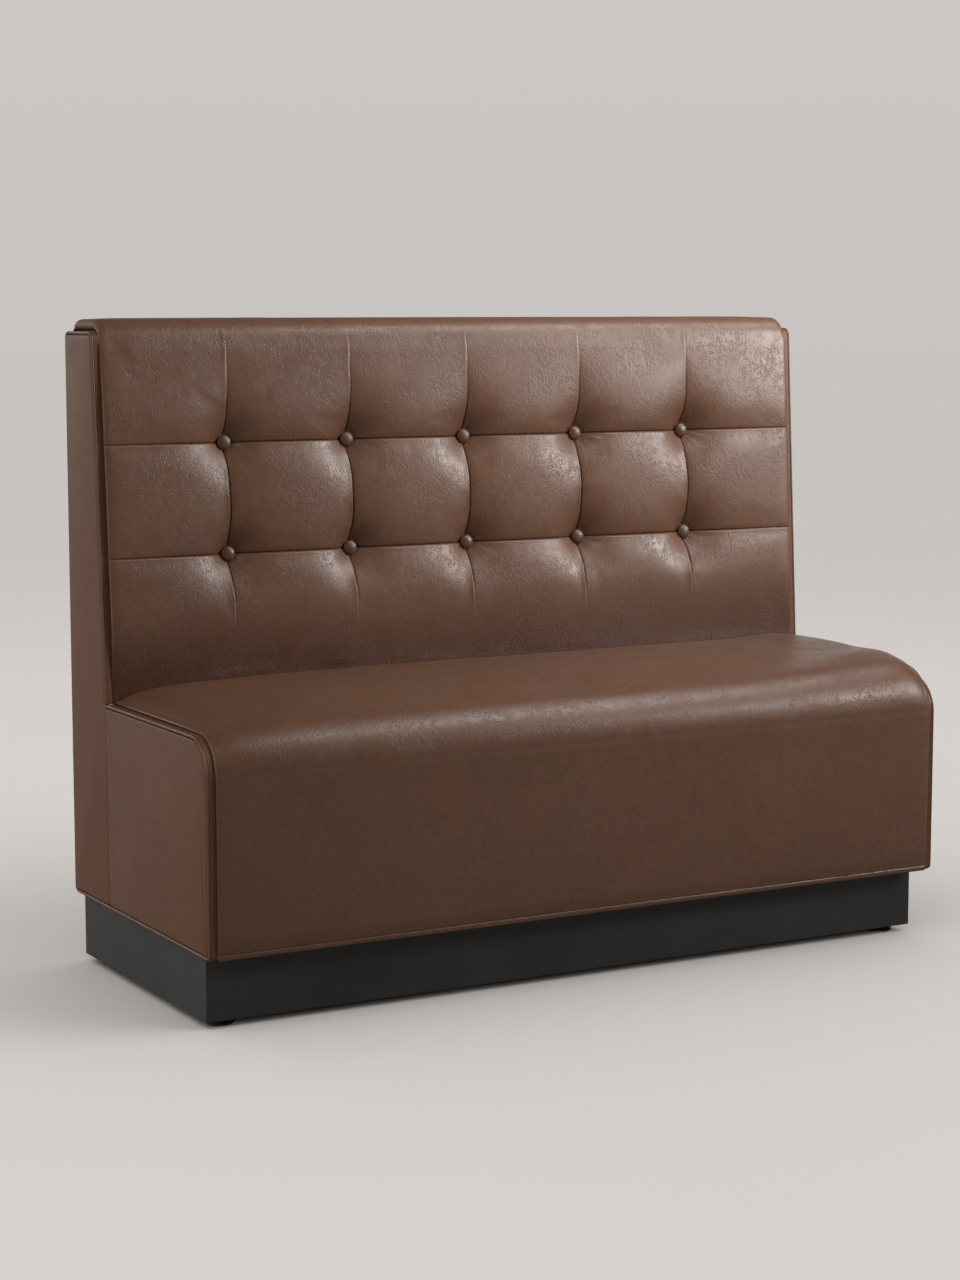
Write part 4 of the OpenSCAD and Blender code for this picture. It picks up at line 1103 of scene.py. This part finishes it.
def back_height(x, s):
    """How far the leather stands out from the section: pillows, creases, pits, seams and folds."""
    z = height_at(s)
    dx, column = nearest(BUTTON_X, x)
    dz, row = nearest(ROWS_Z, z)
    r = np.hypot(dx, dz)
    rest = SEAT_EDGE_Z + 0.009 + 0.034 * spread(x)
    above = (z > rest).astype(float)
    columns, rows = column_strength(z), row_strength(x)
    pillow = 0.0005 + PILLOW * ramp(0, 0.125, z - rest)
    pillow -= LEAN_BACK * ramp(HIGH_ROW_Z + 0.03, TOP_Z - 0.03, z)
    dents = columns * sum(np.exp(-np.abs(x - bx) / VALLEY_REACH) for bx in BUTTON_X)
    dents += rows * sum(np.exp(-np.abs(z - bz) / VALLEY_REACH) for bz in ROWS_Z)
    buttons = [(bx, bz) for bx in BUTTON_X for bz in ROWS_Z]
    pits = sum(np.exp(-np.maximum(0, np.hypot(x - bx, z - bz) - PIT_START) / PIT_REACH) for bx, bz in buttons)
    # The leather is drawn in further to the upper right of each button
    shade = sum(np.exp(-((x - bx - 0.017) ** 2 + (z - bz - 0.018) ** 2) / 0.024 ** 2) for bx, bz in buttons)
    height = pillow - above * (VALLEY * dents + PIT * pits + SIDE_PIT * shade)

    # Each column's fold is lapped from the left, and each sewn seam from below
    fold = fold_strength(z) * ramp(0.004, 0.02, r) * ramp(0, 0.05, z - rest)
    lean = dx + 0.0004 * np.sin(z * 90 + column)
    height += fold * lapped(lean, 0.0017, 0.0012, 0.0034, 0.006)
    height += above * rows ** 0.7 * ramp(0.004, 0.016, r) * lapped(dz, 0.0012, 0.0010, 0.0028, 0.005)

    # Folds that fan out from each button, strongest to the lower right
    angle = np.arctan2(dz, dx)
    key = column * 2 + row
    for turn, width, long, deep, odd in (
        (-0.42, 0.085, 0.046, 0.0016, 0.3), (-0.78, 0.095, 0.040, 0.0014, 1.1),
        (-1.12, 0.075, 0.030, 0.0009, 2.3), (-0.16, 0.060, 0.030, 0.0006, 0.9),
        (2.55, 0.080, 0.028, 0.0006, 1.7), (-2.35, 0.070, 0.030, 0.0005, 2.9),
        (0.75, 0.080, 0.026, 0.0005, 0.1), (-2.75, 0.060, 0.024, 0.0005, 0.6),
        (1.15, 0.060, 0.022, 0.0004, 2.0),
    ):
        shift = 0.10 * np.sin(key * 2.7 + odd * 5)
        off = np.angle(np.exp(1j * (angle - turn - shift - (r - 0.02) * 2.2 * np.sin(key + odd))))
        size = deep * (0.75 + 0.35 * np.sin(key * 1.9 + odd * 3))
        reach = ramp(0.008, 0.018, r) * (1 - ramp(long * 0.45, long * 1.25, r))
        ridge = np.exp(-(off / width) ** 2) - 0.6 * np.exp(-((off - 1.9 * width) / width) ** 2)
        height += above * size * reach * ridge

    # Fine gathers close round the button
    gathers = np.sin(angle * 17 + key) * 0.5 + np.sin(angle * 29 + 2 * key) * 0.5
    height += above * 0.00022 * gathers * ramp(0.010, 0.014, r) * (1 - ramp(0.020, 0.036, r))
    edge = 1 - (np.abs(x) / CUSHION_HALF) ** 8
    height += above * 0.0007 * ripple(x, s, 0.035, 11) * ramp(0.01, 0.05, r) * edge
    return height


def crown(x):
    """How far the top roll falls away towards its ends."""
    u = np.abs(x) / CUSHION_HALF
    return -0.0015 * u * u - 0.001 * np.clip((u - 0.93) / 0.07, 0, 1) ** 2


def back_place(x, s, sink=0.0):
    y, z, ny, nz = back_lie.at(s)
    low_z = height_at(s)
    over = ramp(FACE_RUN - 0.030, FACE_RUN + 0.016, s)
    rear = ramp(back_lie.total - 0.030, back_lie.total - 0.022, s)
    height = back_height(x, s) * (1 - over) + crown(x) * (1 - rear) * over
    above_end = 0.021 * ramp(FACE_RUN - 0.02, FACE_RUN + 0.03, s) * (1 - rear)
    x, drop = edge_roll(x, *BACK_ROLL, np.clip((height + above_end + 0.0006) / 2, 0.0003, 0.0115))
    height = height - drop * ramp(SEAT_EDGE_Z - 0.004, SEAT_EDGE_Z + 0.012, low_z) - sink
    y = np.where((low_z < SEAT_EDGE_Z) & (s < FACE_RUN), np.maximum(SEAM_Y, y), y)
    return np.stack([x, y + ny * height, z + nz * height], -1)


def back_inner(s):
    """Where the pad's inner faces lie: on the tufting board, over the top rail and behind it."""
    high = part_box("back_top_rail")[1].z + 0.0004
    behind = BOARD_BEHIND / math.cos(TILT) - 0.0005
    if s <= FACE_RUN:
        z = min(height_at(s), high)
        return plane_y(z) + behind, z
    turn, rear = back_lie.total - 0.02, REAR_Y - 0.0013
    if s <= turn:
        share = (s - FACE_RUN) / (turn - FACE_RUN)
        return plane_y(high) + behind + (rear - plane_y(high) - behind) * share, high
    return rear, high + (REAR_LAP_Z - high) * (s - turn) / (back_lie.total - turn)


def make_back_cushion():
    """The back's pad in its three panels, sewn together along the rows of buttons."""
    def from_button(x, s):
        dx, _ = nearest(BUTTON_X, x)
        dz, _ = nearest(ROWS_Z, height_at(s))
        return np.hypot(dx, dz), np.abs(dz)

    def held(x, s):
        r, from_seam = from_button(x, s)
        sewn = (np.abs(x) > CUSHION_HALF - 0.004) | (s < 0.05) | (s > back_lie.total - 0.03)
        return np.where(sewn | (r < 0.014), 1.0, np.where(from_seam < 0.0035, 0.6, 0.0))

    settled = settle("back_leather", back_place, back_lie.total, held, 0.007)
    folds = [0.0] + [x + CUSHION_HALF for x in BUTTON_X] + [2 * CUSHION_HALF]
    xs = stations(2 * CUSHION_HALF, folds, 0.0052, 0.0007, 0.006) - CUSHION_HALF
    runs = stations(back_lie.total, [0, LOW_RUN, HIGH_RUN], 0.0048, 0.0009, 0.007)
    for name, start, end, *stands_for in (
        ("back_cushion_lower", 0, LOW_RUN, "back_cover_lower", "back_foam"),
        ("back_cushion_middle", LOW_RUN, HIGH_RUN, "back_cover_middle"),
        ("back_cushion_upper", HIGH_RUN, back_lie.total, "back_cover_upper", "top_roll_foam"),
    ):
        ss = runs[(runs >= start - 1e-6) & (runs <= end + 1e-6)].copy()
        ss[0] += SLIT if start > 0 else 0
        ss[-1] -= SLIT if end < back_lie.total else 0
        piece, ix, iy = sheet_grid(name, xs, ss)
        x, s = xs[ix], ss[iy]
        points = back_place(x, s)
        _, _, ny, nz = back_lie.at(s)
        r, from_seam = from_button(x, s)
        free = ramp(0.05, 0.12, s) * ramp(0.03, 0.07, back_lie.total - s)
        free *= ramp(0, 0.03, CUSHION_HALF - np.abs(x)) * ramp(0.012, 0.04, r) * ramp(0, 0.02, from_seam)
        push_settled(points, ny, nz, settled, x, s, free, BACK_SHARE)
        put_corners(piece, points)
        close_pad(piece, ix, iy, xs, ss, back_inner)
        smooth(piece, 70)
        place_piece(piece, back_leather, *stands_for)


# Buttons

BUTTON_R = 0.0125
BUTTON_RISE = 0.0052
DOME_STEPS = 8


def button_depth():
    """How far the foot of a button lies behind the sloping plane, in the middle of its pit."""
    gap_x, gap_z = 0.065 * BUTTON_PITCH, 0.08 * ROW_GAP

    def plain(x, dz):
        broad = VALLEY * (math.exp(-x / VALLEY_REACH) + math.exp(-dz / VALLEY_REACH))
        return PILLOW - 0.0014 - broad - PIT * math.exp(-max(0, math.hypot(x, dz) - PIT_START) / PIT_REACH)

    deep = plain(0, 0)
    rise = plain(gap_x, gap_z) - deep
    return -deep - rise * 0.011 / math.hypot(gap_x, gap_z) - 0.0003


def make_buttons():
    """One covered button is turned, domed and gathered, then copied to the ten pits."""
    def top(face):
        return face.normal.z > 0.9 and len(face.verts) > 8

    clear_selection()
    bpy.ops.mesh.primitive_cylinder_add(vertices=48, radius=0.0110, depth=0.0024, location=(0, 0, 0.0012))
    first = bpy.context.object
    bpy.ops.object.transform_apply(location=True, rotation=True, scale=True)
    pick(first, "FACE", top)
    extrude(0, 0, 0.0004)
    bpy.ops.transform.resize(value=(1.136, 1.136, 1))
    for step in range(1, DOME_STEPS):
        before, angle = (n / DOME_STEPS * math.pi / 2 for n in (step - 1, step))
        share = math.cos(angle) / math.cos(before)
        pick(first, "FACE", top)
        extrude(0, 0, BUTTON_RISE * (math.sin(angle) - math.sin(before)))
        bpy.ops.transform.resize(value=(share, share, 1))
    pick(first, "FACE", top)
    bpy.ops.mesh.poke()
    pick(first, "FACE", lambda f: f.normal.z < -0.9 and len(f.verts) > 8)
    bpy.ops.mesh.inset(thickness=0.002, depth=-0.0004)
    leave_edit()
    for vertex in first.data.vertices:
        r = math.hypot(vertex.co.x, vertex.co.y)
        if 0.0095 < r and vertex.co.z < 0.0056:
            a = math.atan2(vertex.co.y, vertex.co.x)
            pleat = 1 + 0.012 * math.sin(12 * a) * (r / BUTTON_R)
            vertex.co.x *= pleat
            vertex.co.y *= pleat
    subdivide = first.modifiers.new("Subdivision", "SUBSURF")
    subdivide.levels = subdivide.render_levels = 1
    take(first)
    bpy.ops.object.modifier_apply(modifier="Subdivision")
    copies = []
    depth = button_depth()
    for z in ROWS_Z:
        for x in BUTTON_X:
            button = new_object("button", first.data.copy())
            button.rotation_euler = (math.radians(90) - TILT, 0, 0)
            button.location = (x, plane_y(z) + depth * math.cos(TILT), z - depth * math.sin(TILT))
            copies.append(button)
    bpy.data.objects.remove(first)
    take(*copies)
    bpy.ops.object.transform_apply(location=True, rotation=True, scale=True)
    bpy.ops.object.join()
    piece = bpy.context.object
    piece.name = piece.data.name = "covered_buttons"
    recalculate(piece)
    smooth(piece, 50)
    place_piece(piece, button_leather, "tuft_buttons")


# Rear cover

def make_rear_cover():
    """The leather behind, with its edges folded under, and its hem between the ends."""
    skin_y, half = REAR_Y - 0.0015, PLY_IN_X - 0.0006
    low, high = (-half, skin_y, BODY_Z + 0.0004), (half, REAR_Y - 0.0004, BODY_Z + 0.0124)
    hem = start_block("rear_cover_hem", low, high)
    pick(hem, "EDGE", lambda e: e.calc_length() > 0.1)
    bpy.ops.mesh.bevel(offset=0.0004, segments=2, affect="EDGES")
    leave_edit()
    smooth(hem)
    place_piece(hem, brown_leather, "rear_cover")

    half = HALF_W - 0.007
    low, high = (-half, skin_y, BODY_Z + 0.0125), (half, REAR_Y, REAR_LAP_Z - 0.0005)
    panel = start_block("rear_cover_panel", low, high)
    pick(panel, "FACE", lambda f: f.normal.y > 0.9)
    for width, out in ((0.0012, 0.0005), (0.010, 0.0), (0.0016, -0.0006), (0.03, 0.0003)):
        bpy.ops.mesh.inset(thickness=width, depth=out)
    leave_edit()
    recalculate(panel)
    smooth(panel)
    place_piece(panel, brown_leather, "rear_cover")


# CAD pieces that stay

def dress_node(name, material, ease=0.0):
    """Gives a CAD piece its finish, and eases its edges."""
    piece = nodes[name]
    piece.data.materials.clear()
    piece.data.materials.append(material)
    if ease:
        weld = piece.modifiers.new("Weld", "WELD")
        weld.merge_threshold = 0.00001
        bevel = piece.modifiers.new("Bevel", "BEVEL")
        bevel.width = ease
        bevel.segments = 2
        bevel.limit_method = "ANGLE"
        bevel.angle_limit = math.radians(40)


def dress_nodes():
    for name in ("seat_base_board", "seat_deck", "back_bottom_rail", "back_shelf", "back_top_rail"):
        dress_node(name, ply_flat)
    for name in ("seat_front_board", "seat_rear_board", "back_lower_rail", "tuft_board", "back_rear_panel"):
        dress_node(name, ply_front)
    for name in ("foot_tee_nuts", "plinth_brackets", "bracket_screws", "frame_bolts", "frame_nuts"):
        dress_node(name, zinc)
    for name in ("seat_end_ply_{}", "seat_{}_rib", "back_end_ply_{}", "back_{}_rib", "plinth_{}_rib"):
        for word in ("left", "right"):
            dress_node(name.format(word), ply_side)
    for word in ("front", "rear", "left", "right"):
        dress_node(f"plinth_{word}_board", black_lacquer, 0.0016)
    for foot in ("front_left", "front_right", "rear_left", "rear_right"):
        dress_node("foot_stem_" + foot, zinc)
        dress_node("foot_pad_" + foot, nylon, 0.0008)
    dress_node("plinth_corner_blocks", solid_beech)
    dress_node("button_ties", twine)


set_camera()
lay_floor()
light_studio()
paint_backdrop()
dress_nodes()
for side, word in ((-1, "left"), (1, "right")):
    seat_end_panel(side, word)
    back_end_panel(side, word)
    lay_piping(side, word)
make_seat_cushion()
make_back_cushion()
make_buttons()
make_rear_cover()
